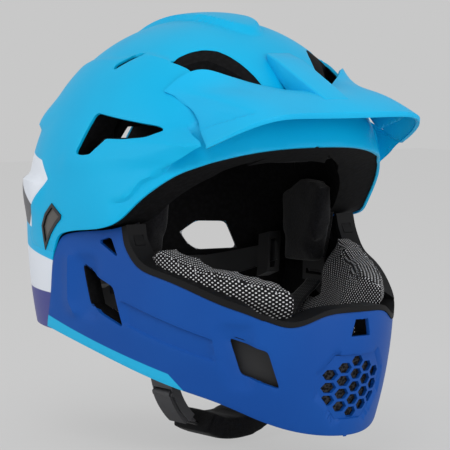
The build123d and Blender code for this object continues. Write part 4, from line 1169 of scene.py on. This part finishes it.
def knitMap(piece):
    # the knit's own map, in metres: of distance round the guard, outwards and upwards, the two that each
    # face runs along
    mesh = piece.data
    points = collected(mesh.vertices, "co")
    ringMiddle = chinForm["setback"] * mm
    across, ahead = np.abs(points[:, 0]), ringMiddle - points[:, 1]
    lengths = columns(np.arctan2(across, ahead) * knitLook["radius"], np.hypot(across, ahead), points[:, 2])
    corners = collected(mesh.loops, "vertex_index", 1, int)
    sizes = collected(mesh.polygons, "loop_total", 1, int)
    normals = collected(mesh.polygons, "normal")
    out = (collected(mesh.polygons, "center") - [0, ringMiddle, 0])[:, :2]
    out /= np.linalg.norm(out, axis=1)[:, None]
    outward = np.abs(np.sum(normals[:, :2] * out, axis=1))
    around = knitLook["aroundShare"] * np.abs(normals[:, 0] * out[:, 1] - normals[:, 1] * out[:, 0])
    left = np.repeat(np.argmax(columns(around, outward, np.abs(normals[:, 2])), axis=1), sizes)
    first, second = np.where(left == 0, 1, 0), np.where(left == 2, 1, 2)
    values = columns(lengths[corners, first], lengths[corners, second])
    mesh.uv_layers.new(name="knit").data.foreach_set("uv", values.ravel())


def padFlap(points):
    # the pad's upper edge rises over the guard's foam and spreads outwards to the edging
    look = padLook["cheek"]
    port = cubicThrough(chinSide(portShares))
    port = port[np.argsort(port[:, 0])]
    top = np.interp(-points[:, 1] / mm, *port.T)
    near = fade(points[:, 2] / mm - top, look["edge"])[:, None]
    outward = points * [1, 1, 0] - [0, chinForm["setback"] * mm, 0]
    outward /= np.linalg.norm(outward, axis=1)[:, None]
    return points + near * (outward * look["spread"] + [0, 0, look["rise"]]) * mm


def padReach(points):
    # the pad's front end is drawn on along the guard: its turn about the ring falls, and its share of the
    # ring's reach stays
    c, look = chinForm, padLook["cheek"]
    x, y, z = points.T / mm
    halfWidth, front, _ = chinRadii(z)
    p = c["planFront"]
    across, ahead = x / halfWidth, np.maximum(c["setback"] - y, 0.001) / front
    turn = np.arctan2(across ** (p / 2), ahead ** (p / 2))
    share = (across ** p + ahead ** p) ** (1 / p)
    near = smooth((look["reachFrom"] - turn) / (look["reachFrom"] - turn.min()))
    turn = turn - look["reach"] * near
    across, ahead = halfWidth * share * np.sin(turn) ** (2 / p), front * share * np.cos(turn) ** (2 / p)
    return np.where((near > 0)[:, None], columns(across, c["setback"] - ahead, z) * mm, points)


def padSleeve(points):
    # the sleeve is wider than the webbing's cover, and its upper face is drawn up into a soft fold
    look, loop = padLook["chin"], strapLoop
    middle = np.array([0, -loop["ahead"], -loop["below"]]) * mm
    arm = points - middle
    radius = np.hypot(arm[:, 0], arm[:, 2])
    inner = fade(radius / mm, (loop["radius"], -look["foldRun"]))[:, None]
    inward = -arm * [1, 0, 1] / radius[:, None]
    return middle + arm * [1, look["widen"], 1] + inner * inward * look["fold"] * mm


def finishPads():
    pieces = [startPad(look) for look in padLook.values()]
    starts = [collected(piece.data.vertices, "co") for piece in pieces]
    simulate(pieces)
    for (kind, look), piece, start in zip(padLook.items(), pieces, starts):
        moved = collected(piece.data.vertices, "co") - start
        length = np.linalg.norm(moved, axis=1)[:, None]
        points = start + moved * np.minimum(1, look["cap"] * mm / np.maximum(length, 1e-9))
        if kind == "cheek":
            points = padReach(padFlap(points))
        if kind == "chin":
            points = padSleeve(points)
        setCoordinates(piece.data, points)
        modifier(piece, "SUBSURF", levels=1, render_levels=1)
        applied(piece)
        piece.data.polygons.foreach_set("use_smooth", [True] * len(piece.data.polygons))
        made = [(look["node"], piece)]
        if look["node"].endswith("_left"):
            node = look["node"].replace("_left", "_right")
            twin = piece.copy()
            twin.data = piece.data.copy()
            twin.name = "pad_" + node
            bpy.context.scene.collection.objects.link(twin)
            setCoordinates(twin.data, collected(twin.data.vertices, "co") * [-1, 1, 1])
            twin.data.flip_normals()
            made.append((node, twin))
        for name, pad in made:
            if look["finish"] == "knit":
                knitMap(pad)
            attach(pad, look["body"])
            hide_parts(name)
            setMaterial(pad, soft[look["finish"]])
    report("pads")


finishPads()


# the visor: a thin sheet from a curved root on the shell to the leading edge, with a bridge down its middle
visorLook = {
    "wall": 2.4, "edge": 0.5, "sharp": 24, "center": (0, -70.0, 20.0), "columns": 80, "rows": 48, "half": 79,
    "depth": 50, "lead": ((136.4, 39.9, 7.7), (103.7, 20.2, 6.7)), "sidePower": 4,
    "crown": 2.5, "rise": 3.4, "riseHalf": 26.0, "dip": 6.5, "dipPlace": 0.72, "dipHalf": 0.2,
    "facet": 2.8, "facetRun": 2.5, "lip": 3.6, "lipAhead": 0.6, "lipFall": 0.45,
}
bridgeLook = {"half": (9.8, 10.7, 9.6), "edge": 1.2, "bevelFrom": 20, "sharp": 30}
# the sheet is open under the bridge: nearer the middle than this, behind it and above it
visorGap = {"across": 9.0, "ahead": 93, "above": 112}
visorRoot = np.array([
    (0, 92, 114.0), (23, 87.5, 116.5), (34, 81, 120.5), (46, 72, 125), (57, 62.5, 128), (66, 55, 124),
    (75, 48.5, 114.5),
])
visorEdge = np.array([
    (75, 48.5, 114.5), (71.5, 58, 112), (69.8, 67.5, 108.7), (70, 74, 104), (71, 79, 98.3),
    (73.5, 83.4, 92.4), (76, 89.5, 87.5), (79, 96.5, 83.5),
])
visorFacetShares = [(1.05, -0.03), (0.86, 0.56), (0.77, 0.88), (0.90, 0.815), (1.05, 0.68)]
bridgeSide = np.array([(66, 138.2), (79, 134), (124, 111.6), (124.5, 108.8), (95, 110), (69, 129.5)])


def visorSheet(count=600):
    look = visorLook
    s, t = [np.linspace(0, 1, look[key] + 1) for key in ("columns", "rows")]
    place = np.linspace(0, 1, count)
    root = sampled(cubicThrough(visorRoot, count), place, s)
    side = sampled(cubicThrough(visorEdge, count), place, t)
    lead = columns(look["half"] * s, *[start - fall * s ** power for start, fall, power in look["lead"]])
    across, along = np.meshgrid(s, t, indexing="ij")
    points = root[:, None] * (1 - along)[..., None] + lead[:, None] * along[..., None]
    # the straight side edge is drawn onto the curved one, and the sheet bows up between root and lead
    outer = across ** look["sidePower"]
    points = points + (side - points[-1])[None] * outer[..., None]
    points[..., 2] += look["crown"] * 4 * along * (1 - along) * (1 - outer)
    middle = np.exp(-(look["half"] * across / look["riseHalf"]) ** 2)
    points[..., 2] += look["rise"] * 4 * along * (1 - along) * middle
    # in front of each wing's rear corner the sheet dips, deepest a quarter of the way to the leading edge,
    # where 9.48 brings the curve to 1
    hollow = np.exp(-((across - look["dipPlace"]) / look["dipHalf"]) ** 2)
    points[..., 2] -= look["dip"] * 9.48 * along * (1 - along) ** 3 * hollow
    # a facet on each wing is sunk between two creases
    size = [look["half"], look["depth"]]
    chart, facet = columns(across.ravel(), along.ravel()) * size, np.array(visorFacetShares) * size
    away = np.minimum(np.abs(sideOfCurve(chart, facet)) / look["facetRun"], 1)
    points[..., 2] -= look["facet"] * np.where(insidePolygon(chart, facet), away, 0).reshape(across.shape)
    return points * [1, -1, 1]


def visorPiece():
    look, gap = visorLook, visorGap
    grid = visorSheet()
    n, m = grid.shape[:2]
    i, j = np.meshgrid(np.arange(n - 1), np.arange(m - 1), indexing="ij")
    first = (i * m + j).ravel()
    # the leading edge is turned down, less so towards the wings
    fall = (1 - look["lipFall"] * np.linspace(0, 1, n) ** 2)[:, None]
    lip = grid[:, -1] + np.array([0, look["lipAhead"], -look["lip"]]) * fall
    points = np.vstack([grid.reshape(-1, 3), lip])
    k = np.arange(n - 1)
    top, foot = k * m + m - 1, n * m + k
    faces = np.vstack([
        columns(first, first + m, first + m + 1), columns(first, first + m + 1, first + 1),
        columns(top, top + m, foot + 1), columns(top, foot + 1, foot),
    ])
    across, back, up = points[faces].mean(axis=1).T
    faces = faces[(across > gap["across"]) | (back < -gap["ahead"]) | (up < gap["above"])]
    piece = skin("visorSheet", points, facing(points, faces, np.array(look["center"])), look, look["sharp"])
    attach(piece, "visor")
    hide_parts("visor")
    setMaterial(piece, shells["visorCyan"])
    wedge = bridgePiece()
    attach(wedge, "visor")
    setMaterial(wedge, shells["visorCyan"])
    report("visor")


def bridgePiece():
    # wedge that stands on the middle of the visor and rests on the shell
    look = bridgeLook
    rings = []
    for sign in (-1, 1):
        for line in (bridgeSide[:3], bridgeSide[:2:-1]):
            rings += [(sign * half, -p[0], p[1]) for half, p in zip(look["half"], line)]
    faces = [
        [0, 6, 7, 1], [1, 7, 8, 2], [3, 4, 10, 9], [4, 5, 11, 10], [0, 1, 4, 3], [1, 2, 5, 4], [6, 9, 10, 7],
        [7, 10, 11, 8], [0, 3, 9, 6], [2, 8, 11, 5],
    ]
    piece = newMesh("visorBridge", rings, faces)
    modifier(piece, "BEVEL", width=look["edge"] * mm, segments=3, limit_method="ANGLE",
             angle_limit=math.radians(look["bevelFrom"]))
    return applied(piece, look["sharp"])


visorPiece()


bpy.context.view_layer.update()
report("done")
